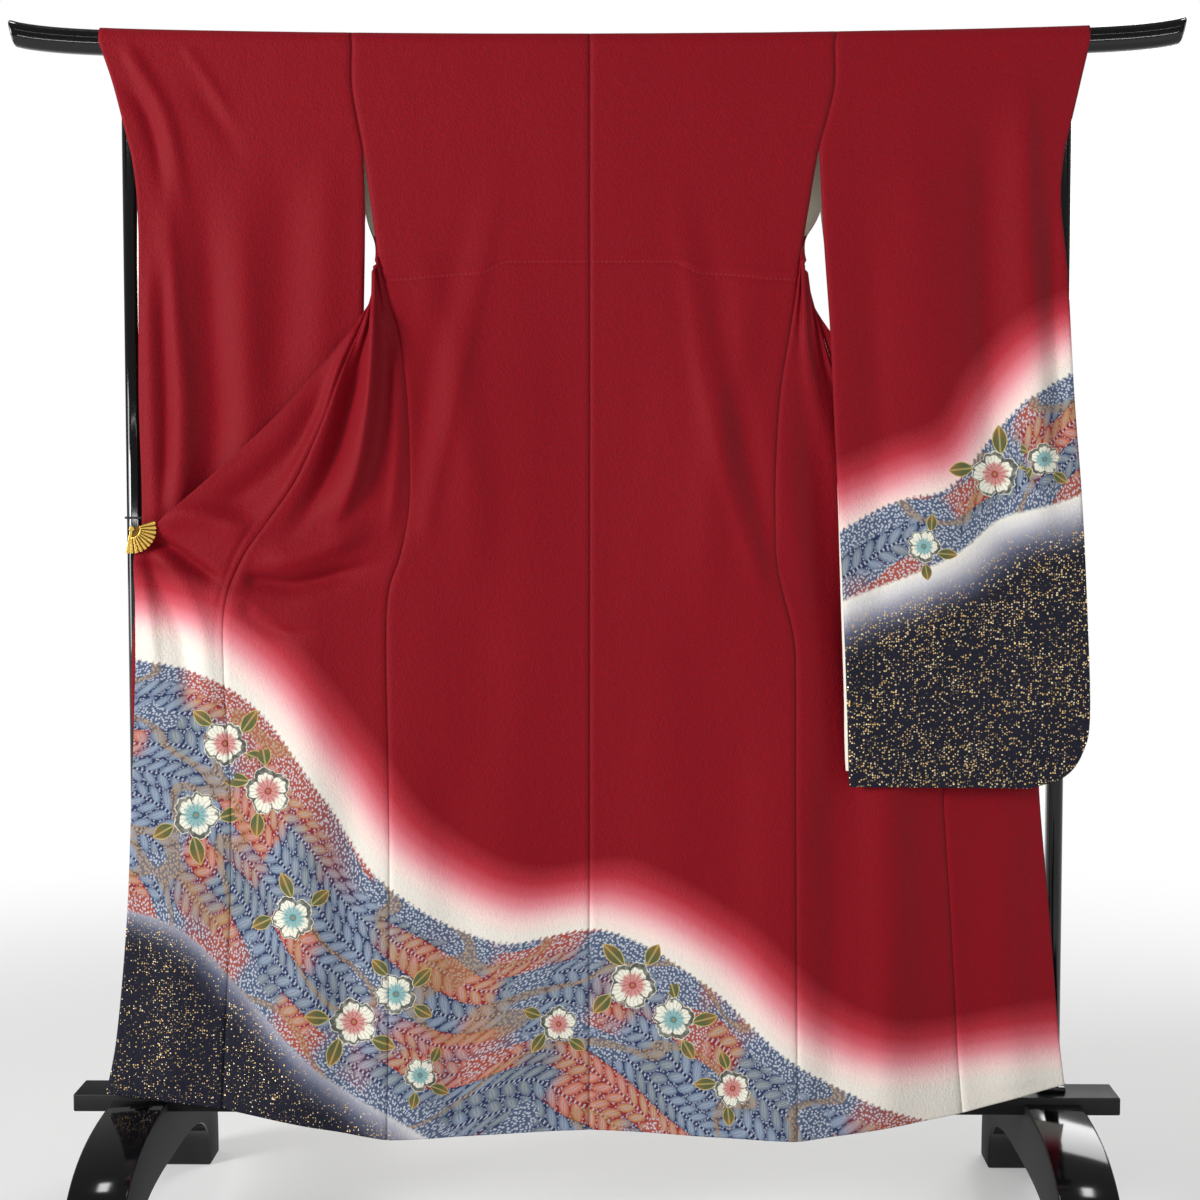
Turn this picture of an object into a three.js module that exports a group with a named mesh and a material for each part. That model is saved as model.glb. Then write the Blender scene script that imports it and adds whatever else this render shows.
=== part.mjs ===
// A long-sleeved kimono hung on a lacquered kimono stand, its back to the front (-Y).
// Millimetres, +Z up. The origin is on the floor, midway between the feet.
import * as THREE from "three";
import { mergeVertices } from "three/addons/utils/BufferGeometryUtils.js";

// ---------------------------------------------------------------- driving dimensions
const stand = {
  barLength: 1547, barDepth: 30, barHeight: 33, barCentreZ: 1583, barBowRise: 12, barTipRise: 10, barTipPower: 16,
  postX: 614.5, postWidth: 22, postDepth: 26, postTopZ: 1572,
  ferruleWidth: 36, ferruleHeight: 9,
  beamLength: 1404, beamDepth: 70, beamBottomZ: 168, beamTopZ: 192,
  footX: 612, footWidth: 76, footHalfLength: 330, footCrownZ: 183,
  footHollowHalfLength: 262, footHollowZ: 98, footPower: 3,
  gap: 0.3,
};
const cloth = {
  wall: 1.5, seamGap: 0.3, centreSeamX: -7, riseFromZ: 1420, riseFullZ: 1560,
  cuffX: { left: [652, 646, 634], right: [646, 640, 634] }, cuffY: 18.5, cuffDrop: 8, barClearance: 1.2, barPower: 2.4, openSeamShare: 0.55,
  gatherGapShare: 0.24, collarWall: 3, collarLift: 5.5,
};
const steps = { across: 6, frontAcross: 8, overlapAcross: 4, seam: 18, upper: 6, arch: 10, sleeve: 20, collar: 20 };
const clip = {
  hub: [-612, -37.2, 952], hubRadius: 8, fanRadius: 33, thickness: 2.2, pleats: 11, pleatDepth: 1.4,
  fromAngle: -100, toAngle: 28, jawEdgeX: -615, jawWidth: 14, jawHeight: 10, jawDrop: 20, jawSheet: 1, bandHeight: 5, bandWall: 1.2, bandZ: 966,
};

// Turns a table of rows with named columns into objects.
const table = (names, rows) =>
  rows.map((row) => Object.fromEntries(names.split(" ").map((name, i) => [name, row[i]])));

// ---------------------------------------------------------------- the garment's seams
// From the armpit (first row) to the hem (last row): the side seam, the seam between the front and
// the overlap, and the overlap's free edge. The left front is drawn forward to the left post.
const seamColumns = "sideX sideY sideZ lapX lapY lapZ edgeX edgeY edgeZ";
const leftSeams = table(seamColumns, [
  [-286, -22, 1312, -295, -13, 1256, -299, -13, 1246],
  [-272, -27, 1255, -312, -36, 1208, -322, -36, 1212],
  [-257, -30, 1201, -334, -43, 1156, -371, -35, 1154],
  [-248, -36, 1130, -359, -46, 1090, -422, -35, 1099],
  [-244, -40, 1050, -391, -47, 1020, -492, -35, 1035],
  [-245, -43, 980, -428, -47, 966, -576, -32, 962],
  [-256, -42, 920, -466, -45, 912, -609, -29, 922],
  [-273, -41, 866, -489, -44, 850, -610, -30, 857],
  [-276, -44, 780, -491, -44, 760, -611, -32, 760],
  [-272, -58, 600, -483, -48, 600, -617, -36, 600],
  [-271, -70, 420, -485, -52, 430, -625, -40, 430],
  [-272, -86, 250, -493, -57, 265, -640, -44, 272],
  [-273, -98, 150, -495, -66, 182, -655, -46, 196],
]);
const rightSeams = table(seamColumns, [
  [271, -22, 1320, 280, -14, 1262, 284, -10, 1252],
  [264, -26, 1262, 296, -22, 1215, 302, -20, 1222],
  [254, -30, 1200, 318, -26, 1150, 345, -22, 1165],
  [243, -36, 1130, 345, -27, 1085, 410, -22, 1085],
  [238, -40, 1050, 380, -26, 1020, 480, -20, 1000],
  [237, -43, 980, 415, -24, 950, 540, -18.5, 915],
  [241, -43, 900, 440, -22, 880, 572, -18, 840],
  [262, -41, 810, 455, -22, 800, 582, -18, 770],
  [265, -44, 750, 460, -24, 730, 588, -18, 700],
  [265, -58, 600, 462, -34, 595, 591, -22, 594],
  [266, -70, 420, 472, -46, 430, 606, -30, 425],
  [267, -86, 250, 481, -56, 262, 617, -38, 285],
  [267, -98, 150, 487, -64, 180, 625, -44, 213],
]);
// The centre back seam beside the same rows.
const centreSeam = table("y z", [
  [-22, 1316], [-23, 1258], [-24, 1201], [-26, 1130], [-28, 1050], [-30, 980], [-32, 910],
  [-34, 838], [-36, 765], [-43, 600], [-50, 420], [-59, 250], [-67, 156],
]);
// Behind the bar, from the shoulder fold to the armpit: the fronts gather and pass forward there.
const frontColumns = "armX armY armZ neckX neckY neckZ";
const leftFrontTop = table(frontColumns, [
  [-313, 34, 1500, -100, 34, 1500],
  [-314, 29, 1440, -112, 56, 1410],
  [-306, 16, 1370, -186, 74, 1322],
  [-292, -6, 1332, -258, 46, 1270],
]);
const rightFrontTop = table(frontColumns, [
  [313, 34, 1500, 100, 34, 1500],
  [313, 29, 1440, 112, 56, 1410],
  [298, 16, 1372, 180, 74, 1322],
  [279, -6, 1338, 246, 46, 1272],
]);
// The free edge of the overlap's narrow top, behind the armpit.
const leftOverlapTop = table("edgeX edgeY edgeZ", [
  [-182, 76, 1317],
  [-258, 48, 1256],
]);
const rightOverlapTop = table("edgeX edgeY edgeZ", [
  [176, 76, 1317],
  [247, 48, 1257],
]);
// The seam between body and sleeve, from the rear shoulder over the bar to its lower end in front.
const armholeSeam = table("y z leftX rightX", [
  [34, 1500, -313, 313],
  [24, 1545, -318, 318],
  [-19, 1530, -319, 313],
  [-20, 1451, -305, 293],
]);
// The cuff's rear edge beside the rear shoulder seam; it bends round the post's inner side.
const cuffBehind = table("outerX outerY outerZ", [
  [590, 14, 1520],
  [588, 4, 1470],
  [590, -8, 1420],
]);
// Sleeves: each layer from the lower end of its shoulder seam to the bottom edge. inner is the open
// edge beside the body, outer is the cuff and then the closed edge, which ends in the rounded corner.
const sleeveColumns = "innerX innerY innerZ outerX outerY outerZ";
const leftSleeveFront = table(sleeveColumns, [
  [-305, -20, 1451, -610, -19.5, 1443],
  [-303, -20, 1364, -603, -20, 1384],
  [-305, -20, 1253, -602, -20, 1290],
  [-309, -20, 1100, -604, -20, 1122],
  [-320, -20, 950, -602, -20, 960],
  [-326, -20, 800, -616, -20, 810],
  [-330, -20, 680, -619, -20, 705],
  [-331, -20, 640, -612, -20, 660],
  [-332, -20, 618, -592, -20, 628],
  [-332, -20, 610, -556, -20, 612],
]);
const leftSleeveBack = table(sleeveColumns, [
  [-306, 16, 1370, -590, -8, 1420],
  [-313, 8, 1253, -603, -17, 1376],
  [-316, 0, 1100, -603, -17.4, 1122],
  [-322, -4, 950, -600, -17.4, 960],
  [-328, -6, 800, -614, -17.4, 810],
  [-331, -6, 690, -616, -17.4, 705],
  [-331, -8, 652, -609, -17.4, 668],
  [-331, -9, 634, -588, -17.4, 642],
  [-331, -10, 626, -556, -17.4, 628],
]);
const rightSleeveFront = table(sleeveColumns, [
  [293, -20, 1451, 613, -21, 1446],
  [299, -28, 1336, 609, -23.5, 1384],
  [308, -38, 1206, 618, -31, 1280],
  [314, -44, 1080, 626, -42, 1130],
  [319, -48, 990, 637, -48, 990],
  [326, -52, 850, 645, -51, 850],
  [331, -57, 726, 650, -54, 712],
  [333, -60, 660, 642, -56, 662],
  [334, -61, 628, 618, -57, 628],
  [335, -62, 614, 572, -58, 612],
]);
const rightSleeveBack = table(sleeveColumns, [
  [298, 16, 1372, 590, -8, 1420],
  [307, -20, 1262, 602, -20.5, 1376],
  [313, -32, 1150, 612, -29, 1262],
  [318, -37, 1030, 628, -41.6, 1080],
  [323, -41, 880, 641, -47, 880],
  [328, -47, 740, 647, -50.6, 722],
  [329, -50, 680, 640, -52.6, 672],
  [330, -52, 648, 616, -54, 640],
  [331, -53, 634, 572, -55, 630],
]);
// The collar's right half: its seam to neck and front edge, and its folded outer edge.
const collarHalf = table("seamX seamY seamZ freeX freeY freeZ", [
  [0, 34, 1500, 0, 46, 1446],
  [60, 34, 1500, 40, 47, 1446],
  [100, 34, 1500, 54, 52, 1440],
  [112, 56, 1410, 60, 74, 1388],
  [150, 68, 1362, 104, 92, 1332],
  [180, 74, 1322, 148, 98, 1284],
  [212, 68, 1304, 190, 92, 1264],
]);
// Long soft folds: where they run across a piece (0 inner to 1 outer), how wide, how deep (towards
// the front when positive) and between which shares of the piece's length.
const foldColumns = "across drift width depth from to";
const backFolds = table(foldColumns, [
  [0.86, -0.3, 0.12, 7, 0.42, 0.8],
  [0.55, 0.0, 0.2, -4, 0.6, 1.0],
]);
const frontFoldsLeft = table(foldColumns, [
  [0.34, 0.1, 0.11, 15, 0.3, 0.66],
  [0.62, 0.1, 0.12, -9, 0.32, 0.6],
  [0.5, 0.0, 0.2, 7, 0.7, 1.0],
]);
const frontFoldsRight = table(foldColumns, [
  [0.38, 0.0, 0.22, -18, 0.52, 1.0],
  [0.36, 0.1, 0.14, 6, 0.3, 0.6],
  [0.5, 0.0, 0.2, 7, 0.75, 1.0],
]);
const sleeveFolds = table(foldColumns, [
  [0.82, 0.0, 0.08, 4, 0.66, 0.96],
  [0.64, 0.0, 0.09, -3, 0.68, 0.92],
]);

// ---------------------------------------------------------------- curves and walls
const catmull = (a, b, c, d, t) =>
  0.5 * (2 * b + (c - a) * t + (2 * a - 5 * b + 4 * c - d) * t * t + (3 * b - a - 3 * c + d) * t ** 3);

// A smooth value of one column, at a share of the way down the table.
function columnAt(rows, name, share) {
  const place = Math.min(Math.max(share, 0), 1) * (rows.length - 1);
  const i = Math.min(Math.floor(place), rows.length - 2);
  const value = (k) => rows[Math.min(Math.max(k, 0), rows.length - 1)][name];
  return catmull(value(i - 1), value(i), value(i + 1), value(i + 2), place - i);
}

const pointAt = (rows, name, share) =>
  new THREE.Vector3(...["X", "Y", "Z"].map((axis) => columnAt(rows, name + axis, share)));

// The bar bows up gently and turns up at its tips, and the cloth on it rises with it.
function barRise(x) {
  const share = Math.abs(2 * x) / stand.barLength;
  return stand.barBowRise * share ** 2 + stand.barTipRise * share ** stand.barTipPower;
}
function riseWithBar(point) {
  const share = THREE.MathUtils.smoothstep(point.z, cloth.riseFromZ, cloth.riseFullZ);
  point.z += barRise(point.x) * share;
  return point;
}

// A point on a rounded section (a superellipse) of the given half sizes; 0 degrees is the front.
function roundedSection(halfY, halfZ, power, degrees) {
  const a = THREE.MathUtils.degToRad(degrees);
  const bend = (value) => Math.sign(value) * Math.abs(value) ** (2 / power);
  return [-halfY * bend(Math.cos(a)), halfZ * bend(Math.sin(a))];
}

// The rows of the wall where it passes over the bar, from the rear to the front.
function archRows(ends) {
  const rows = [];
  const halfY = stand.barDepth / 2 + cloth.barClearance + cloth.wall / 2;
  const halfZ = stand.barHeight / 2 + cloth.barClearance + cloth.wall / 2;
  for (let i = 0; i <= steps.arch; i++) {
    const [y, z] = roundedSection(halfY, halfZ, cloth.barPower, 180 - (180 * i) / steps.arch);
    rows.push(ends(i / steps.arch, y, stand.barCentreZ + z));
  }
  return rows;
}

// How far the folds move a point forward.
function foldDepth(folds, across, along) {
  let depth = 0;
  for (const fold of folds) {
    const share = (along - fold.from) / (fold.to - fold.from);
    if (share <= 0 || share >= 1) continue;
    const off = (across - fold.across - fold.drift * share) / fold.width;
    depth += fold.depth * Math.exp(-off * off) * Math.sin(Math.PI * share) * Math.sin(Math.PI * across);
  }
  return depth;
}

// How the depth eases from a row's first point to its last, so that the cloth hangs in round waves.
const eases = {
  straight: (u) => u,
  both: (u) => (1 - Math.cos(Math.PI * u)) / 2,
  first: (u) => 1 - Math.cos((Math.PI / 2) * u),
};

// A closed wall between two rows of edge points. Its middle surface runs from a row's first point to
// its last, moved by the folds. seams says which sides meet a neighbour: there the wall's thickness
// has no part along X, and the edge stays half a gap back.
function clothWall(rows, across, { wall = cloth.wall, folds = [], seams = [], ease = "straight" } = {}) {
  const along = rows.length - 1;
  const grid = rows.map(([first, last], j) => {
    const inset = cloth.seamGap / 2 / Math.max(first.distanceTo(last), 1);
    return Array.from({ length: across + 1 }, (_, i) => {
      const u = inset + (1 - 2 * inset) * (i / across);
      const point = first.clone().lerp(last, u).setY(first.y + (last.y - first.y) * eases[ease](u));
      point.y -= foldDepth(folds, i / across, j / along);
      return riseWithBar(point);
    });
  });
  const positions = [];
  const sideOf = (sign) =>
    grid.map((row, j) =>
      row.map((point, i) => {
        const alongStep = grid[Math.min(j + 1, along)][i].clone().sub(grid[Math.max(j - 1, 0)][i]);
        const acrossStep = row[Math.min(i + 1, across)].clone().sub(row[Math.max(i - 1, 0)]);
        const normal = acrossStep.cross(alongStep).normalize();
        const meets = (i === 0 && seams.includes("first")) || (i === across && seams.includes("last"));
        if (meets && Math.abs(normal.x) < 0.8) normal.setX(0).normalize();
        return point.clone().addScaledVector(normal, (sign * wall) / 2);
      }),
    );
  const quad = (a, b, c, d) => {
    for (const p of [a, b, c, a, c, d]) positions.push(p.x, p.y, p.z);
  };
  const outer = sideOf(1);
  const inner = sideOf(-1);
  for (let j = 0; j < along; j++) {
    for (let i = 0; i < across; i++) {
      quad(outer[j][i], outer[j][i + 1], outer[j + 1][i + 1], outer[j + 1][i]);
      quad(inner[j][i], inner[j + 1][i], inner[j + 1][i + 1], inner[j][i + 1]);
    }
    quad(inner[j][0], outer[j][0], outer[j + 1][0], inner[j + 1][0]);
    quad(outer[j][across], inner[j][across], inner[j + 1][across], outer[j + 1][across]);
  }
  for (let i = 0; i < across; i++) {
    quad(inner[0][i], inner[0][i + 1], outer[0][i + 1], outer[0][i]);
    quad(outer[along][i], outer[along][i + 1], inner[along][i + 1], inner[along][i]);
  }
  return closedGeometry(positions);
}

// One closed geometry from triangles, facing out whichever way its rows ran.
function closedGeometry(positions) {
  const loose = new THREE.BufferGeometry();
  loose.setAttribute("position", new THREE.Float32BufferAttribute(positions, 3));
  const geometry = mergeVertices(loose, 1e-4);
  const index = geometry.index.array;
  const corner = (k) => new THREE.Vector3().fromBufferAttribute(geometry.attributes.position, index[k]);
  let volume = 0;
  for (let k = 0; k < index.length; k += 3) volume += corner(k).dot(corner(k + 1).cross(corner(k + 2)));
  if (volume < 0) {
    for (let k = 0; k < index.length; k += 3) [index[k + 1], index[k + 2]] = [index[k + 2], index[k + 1]];
  }
  geometry.computeVertexNormals();
  return geometry;
}

// ---------------------------------------------------------------- materials
const material = (color, roughness, metalness = 0) => new THREE.MeshStandardMaterial({ color, roughness, metalness });
const silk = material(0xa3172b, 0.62);
const lacquer = material(0x0c0c0e, 0.12);
const satinBlack = material(0x2a2b2e, 0.5);
const gold = material(0xc9a85a, 0.3, 1);
const elastic = material(0x161616, 0.8);

const part = new THREE.Group();
const standGroup = new THREE.Group();
const garment = new THREE.Group();
const fastening = new THREE.Group();
part.add(standGroup, garment, fastening);

function addMesh(group, name, geometry, finish) {
  const mesh = new THREE.Mesh(geometry, finish);
  mesh.name = name;
  group.add(mesh);
  return mesh;
}

// ---------------------------------------------------------------- the stand
function makeBar() {
  const sides = 24;
  const stations = 40;
  const positions = [];
  const ring = (x) =>
    Array.from({ length: sides }, (_, i) => {
      const tip = THREE.MathUtils.smoothstep(Math.abs(x), stand.barLength / 2 - 6, stand.barLength / 2);
      const keep = 1 - 0.16 * tip;
      const [y, z] = roundedSection(stand.barDepth / 2, stand.barHeight / 2, cloth.barPower, (360 * i) / sides);
      return new THREE.Vector3(x, y * keep, stand.barCentreZ + barRise(x) + z * keep);
    });
  const places = Array.from({ length: stations + 1 }, (_, k) => (k / stations - 0.5) * (stand.barLength - 12));
  const rings = [-stand.barLength / 2, ...places, stand.barLength / 2].map(ring);
  const triangle = (...points) => points.forEach((p) => positions.push(p.x, p.y, p.z));
  rings.slice(1).forEach((next, k) => {
    const last = rings[k];
    for (let i = 0; i < sides; i++) {
      const j = (i + 1) % sides;
      triangle(last[i], next[i], next[j]);
      triangle(last[i], next[j], last[j]);
    }
  });
  for (const [end, flip] of [[rings[0], false], [rings.at(-1), true]]) {
    for (let i = 1; i < sides - 1; i++) {
      if (flip) triangle(end[0], end[i + 1], end[i]);
      else triangle(end[0], end[i], end[i + 1]);
    }
  }
  return closedGeometry(positions);
}

function roundedRectangle(width, depth, radius) {
  const shape = new THREE.Shape();
  const [w, d, r] = [width / 2, depth / 2, radius];
  shape.absarc(w - r, d - r, r, 0, Math.PI / 2);
  shape.absarc(r - w, d - r, r, Math.PI / 2, Math.PI);
  shape.absarc(r - w, r - d, r, Math.PI, 1.5 * Math.PI);
  shape.absarc(w - r, r - d, r, 1.5 * Math.PI, 2 * Math.PI);
  return shape;
}

const upright = (shape, height) =>
  new THREE.ExtrudeGeometry(shape, { depth: height, bevelEnabled: false, curveSegments: 4 });

function makeFoot() {
  const outline = new THREE.Shape();
  const { footHalfLength: far, footCrownZ: crown, footHollowHalfLength: near, footHollowZ: hollow } = stand;
  const arch = (y, reach, height) => height * (1 - (Math.abs(y) / reach) ** stand.footPower) ** (1 / stand.footPower);
  const notchY = stand.beamDepth / 2 + stand.gap;
  const notchZ = stand.beamBottomZ - stand.gap;
  const archSteps = 14;
  outline.moveTo(far, 0);
  for (let i = 1; i <= archSteps; i++) {
    const y = notchY + (far - notchY) * Math.cos((i / archSteps) * (Math.PI / 2));
    outline.lineTo(y, arch(y, far, crown));
  }
  outline.lineTo(notchY, notchZ);
  outline.lineTo(-notchY, notchZ);
  for (let i = archSteps; i >= 1; i--) {
    const y = -notchY - (far - notchY) * Math.cos((i / archSteps) * (Math.PI / 2));
    outline.lineTo(y, arch(y, far, crown));
  }
  outline.lineTo(-far, 0);
  outline.lineTo(-near, 0);
  for (let i = 1; i < 2 * archSteps; i++) {
    const y = -near * Math.cos((i / (2 * archSteps)) * Math.PI);
    outline.lineTo(y, arch(y, near, hollow));
  }
  outline.lineTo(near, 0);
  const geometry = new THREE.ExtrudeGeometry(outline, { depth: stand.footWidth, bevelEnabled: false });
  geometry.translate(0, 0, -stand.footWidth / 2);
  // The outline is drawn in (Y, Z) and its depth becomes X.
  geometry.rotateX(Math.PI / 2).rotateZ(Math.PI / 2);
  return geometry;
}

function addStand() {
  addMesh(standGroup, "bar", makeBar(), lacquer);
  const beamHeight = stand.beamTopZ - stand.beamBottomZ;
  const beam = new THREE.ExtrudeGeometry(roundedRectangle(stand.beamDepth, beamHeight, 3), {
    depth: stand.beamLength, bevelEnabled: false, curveSegments: 3,
  });
  beam.translate(0, 0, -stand.beamLength / 2).rotateX(Math.PI / 2).rotateZ(Math.PI / 2);
  addMesh(standGroup, "base_beam", beam, satinBlack).position.z = stand.beamBottomZ + beamHeight / 2;
  for (const [side, sign] of [["left", -1], ["right", 1]]) {
    const ferrule = upright(roundedRectangle(stand.ferruleWidth, stand.postDepth + 8, 3), stand.ferruleHeight);
    const ferruleZ = stand.beamTopZ + stand.gap;
    addMesh(standGroup, `ferrule_${side}`, ferrule, lacquer).position.set(sign * stand.postX, 0, ferruleZ);
    const postZ = ferruleZ + stand.ferruleHeight + stand.gap;
    const post = upright(roundedRectangle(stand.postWidth, stand.postDepth, 6), stand.postTopZ - postZ);
    addMesh(standGroup, `post_${side}`, post, lacquer).position.set(sign * stand.postX, 0, postZ);
    addMesh(standGroup, `foot_${side}`, makeFoot(), lacquer).position.x = sign * stand.footX;
  }
}

// ---------------------------------------------------------------- the garment
const seamShares = Array.from({ length: steps.seam + 1 }, (_, k) => k / steps.seam);

// Rows of a table's two named edges, without the last one where another table goes on from it.
function rowsOf(rows, first, last, count, withEnd = true) {
  return Array.from({ length: count + (withEnd ? 1 : 0) }, (_, k) => [
    pointAt(rows, first, k / count), pointAt(rows, last, k / count),
  ]);
}

const vector = (x, y, z) => new THREE.Vector3(x, y, z);
const armholeX = (side, share) => columnAt(armholeSeam, `${side}X`, share);

// A back: from the rear shoulder fold over the bar and down to the hem.
function addBack(side, seams) {
  const centre = cloth.centreSeamX;
  const row = (x, y, z) => [vector(centre, y, z), vector(x, y, z)];
  const [rear, behind, before, armpit] = armholeSeam;
  const rows = [row(armholeX(side, 0), rear.y, rear.z), row(armholeX(side, 1 / 3), behind.y, behind.z)];
  rows.push(...archRows((share, y, z) => row(armholeX(side, 1 / 3 + share / 3), y, z)));
  rows.push(row(armholeX(side, 2 / 3), before.y, before.z));
  rows.push(row(armholeX(side, 1), armpit.y, armpit.z));
  const start = pointAt(seams, "side", 0);
  const free = vector(...["x", "y", "z"].map((axis) => {
    const from = { x: armholeX(side, 1), y: armpit.y, z: armpit.z }[axis];
    return from + (start[axis] - from) * cloth.openSeamShare;
  }));
  rows.push([vector(centre, free.y, free.z), free]);
  for (const share of seamShares) {
    const middle = vector(centre, columnAt(centreSeam, "y", share), columnAt(centreSeam, "z", share));
    rows.push([middle, pointAt(seams, "side", share)]);
  }
  const geometry = clothWall(rows, steps.across, {
    folds: backFolds, seams: ["first", "last"], ease: "both",
  });
  addMesh(garment, `back_${side}`, geometry, silk);
}

// A front's table behind the bar, with the armpit row of its two seams at the end.
function withArmpit(top, seams) {
  const last = {};
  for (const axis of ["X", "Y", "Z"]) {
    last["arm" + axis] = seams[0]["side" + axis];
    last["neck" + axis] = seams[0]["lap" + axis];
  }
  return [...top, last];
}

// A front: from the shoulder fold down behind, gathered forward past the armpit, then to the hem.
function addFront(side, top, seams, folds) {
  const rows = rowsOf(withArmpit(top, seams), "arm", "neck", steps.upper * 2, false);
  rows[0].forEach((point) => (point.z -= cloth.seamGap));
  for (const share of seamShares) rows.push([pointAt(seams, "side", share), pointAt(seams, "lap", share)]);
  const geometry = clothWall(rows, steps.frontAcross, { folds, seams: ["first", "last"], ease: "first" });
  addMesh(garment, `front_${side}`, geometry, silk);
}

// An overlap: its pointed top lies in the gathers behind the armpit, beside the lower half of the
// front's rows there.
function addOverlap(side, frontTop, top, seams) {
  const upper = withArmpit(frontTop, seams);
  const edges = [...top, seams[0]];
  const rows = Array.from({ length: steps.upper }, (_, k) => [
    pointAt(upper, "neck", 0.5 + k / (2 * steps.upper)), pointAt(edges, "edge", k / steps.upper),
  ]);
  for (const share of seamShares) rows.push([pointAt(seams, "lap", share), pointAt(seams, "edge", share)]);
  // The gathers keep a wider gap, because the two pieces turn against each other there.
  rows.slice(0, steps.upper + 3).forEach(([lap, edge]) => lap.lerp(edge, cloth.gatherGapShare));
  addMesh(garment, `overlap_${side}`, clothWall(rows, steps.overlapAcross, { seams: ["first"] }), silk);
}

// A sleeve: one strip folded over the bar, from the bottom of its rear layer to that of its front one.
function addSleeve(side, frontTop, seams, back, front) {
  const sign = { left: -1, right: 1 }[side];
  const upper = withArmpit(frontTop, seams);
  const [, behind, before] = armholeSeam;
  const rows = rowsOf(back, "inner", "outer", steps.sleeve).reverse();
  // The rear shoulder seam, beside the upper half of the front's rows behind the bar.
  for (let k = steps.upper - 1; k >= 0; k--) {
    const cuff = pointAt(cuffBehind, "outer", k / steps.upper);
    rows.push([pointAt(upper, "arm", k / (2 * steps.upper)), cuff.setX(cuff.x * sign)]);
  }
  const [cuffX, cuffBehindX, cuffBeforeX] = cloth.cuffX[side];
  rows.push([
    vector(armholeX(side, 1 / 3), behind.y, behind.z),
    vector(sign * cuffBehindX, cloth.cuffY, behind.z + cloth.cuffDrop),
  ]);
  rows.push(...archRows((share, y, z) => [vector(armholeX(side, 1 / 3 + share / 3), y, z), vector(sign * cuffX, y, z)]));
  rows.push([vector(armholeX(side, 2 / 3), before.y, before.z), vector(sign * cuffBeforeX, -cloth.cuffY, before.z)]);
  rows.push(...rowsOf(front, "inner", "outer", steps.sleeve));
  addMesh(garment, `sleeve_${side}`, clothWall(rows, steps.across, { folds: sleeveFolds, seams: ["first"] }), silk);
}

function addCollar() {
  const half = (sign) => (share) => {
    const [seam, free] = ["seam", "free"].map((name) => pointAt(collarHalf, name, share));
    for (const point of [seam, free]) {
      point.x *= sign;
      point.y += cloth.collarLift;
    }
    return [seam, free];
  };
  const count = steps.collar;
  const left = Array.from({ length: count }, (_, k) => half(-1)(1 - k / count));
  const right = Array.from({ length: count + 1 }, (_, k) => half(1)(k / count));
  addMesh(garment, "collar", clothWall([...left, ...right], 2, { wall: cloth.collarWall }), silk);
}

// ---------------------------------------------------------------- the fan clip on the left post
function addClip() {
  const [hubX, hubY, hubZ] = clip.hub;
  const count = clip.pleats * 2;
  const positions = [];
  const at = (k, radius, y) => {
    const a = THREE.MathUtils.degToRad(clip.fromAngle + ((clip.toAngle - clip.fromAngle) * k) / count);
    return vector(hubX + radius * Math.cos(a), y, hubZ + radius * Math.sin(a));
  };
  const front = (k, radius) => at(k, radius, hubY - (k % 2) * clip.pleatDepth * (radius / clip.fanRadius));
  const rear = (k, radius) => front(k, radius).add(vector(0, clip.thickness, 0));
  const quad = (a, b, c, d) => {
    for (const p of [a, b, c, a, c, d]) positions.push(p.x, p.y, p.z);
  };
  const [r0, r1] = [clip.hubRadius * 0.3, clip.fanRadius];
  for (let k = 0; k < count; k++) {
    quad(front(k, r0), front(k, r1), front(k + 1, r1), front(k + 1, r0));
    quad(rear(k, r0), rear(k + 1, r0), rear(k + 1, r1), rear(k, r1));
    quad(front(k, r1), rear(k, r1), rear(k + 1, r1), front(k + 1, r1));
    quad(front(k, r0), front(k + 1, r0), rear(k + 1, r0), rear(k, r0));
  }
  quad(front(0, r0), rear(0, r0), rear(0, r1), front(0, r1));
  quad(front(count, r0), front(count, r1), rear(count, r1), rear(count, r0));
  addMesh(fastening, "clip_fan", closedGeometry(positions), gold);

  // The jaw is a folded sheet that wraps the cloth's edge: behind it, round it and in front of it.
  const jaw = new THREE.Shape();
  const [backY, frontY, s] = [-24, -34.3, clip.jawSheet];
  const [edgeX, innerX] = [clip.jawEdgeX, clip.jawEdgeX + clip.jawWidth];
  [
    [innerX, backY], [edgeX, backY], [edgeX, frontY], [innerX, frontY],
    [innerX, frontY + s], [edgeX + s, frontY + s], [edgeX + s, backY - s], [innerX, backY - s],
  ].forEach(([x, y], i) => (i ? jaw.lineTo(x, y) : jaw.moveTo(x, y)));
  const jawMesh = addMesh(fastening, "clip_jaw", upright(jaw, clip.jawHeight), gold);
  jawMesh.position.z = hubZ - clip.jawDrop;

  const clearance = 0.4;
  const band = roundedRectangle(
    stand.postWidth + 2 * (clearance + clip.bandWall), stand.postDepth + 2 * (clearance + clip.bandWall), 7.6,
  );
  band.holes.push(roundedRectangle(stand.postWidth + 2 * clearance, stand.postDepth + 2 * clearance, 6.4));
  addMesh(fastening, "clip_band", upright(band, clip.bandHeight), elastic)
    .position.set(-stand.postX, 0, clip.bandZ - clip.bandHeight / 2);
}

addStand();
addBack("left", leftSeams);
addBack("right", rightSeams);
addFront("left", leftFrontTop, leftSeams, frontFoldsLeft);
addFront("right", rightFrontTop, rightSeams, frontFoldsRight);
addOverlap("left", leftFrontTop, leftOverlapTop, leftSeams);
addOverlap("right", rightFrontTop, rightOverlapTop, rightSeams);
addSleeve("left", leftFrontTop, leftSeams, leftSleeveBack, leftSleeveFront);
addSleeve("right", rightFrontTop, rightSeams, rightSleeveBack, rightSleeveFront);
addCollar();
addClip();

export default part;
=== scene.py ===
import math
import bmesh
import bpy
from mathutils import Matrix, Vector, noise


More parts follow.
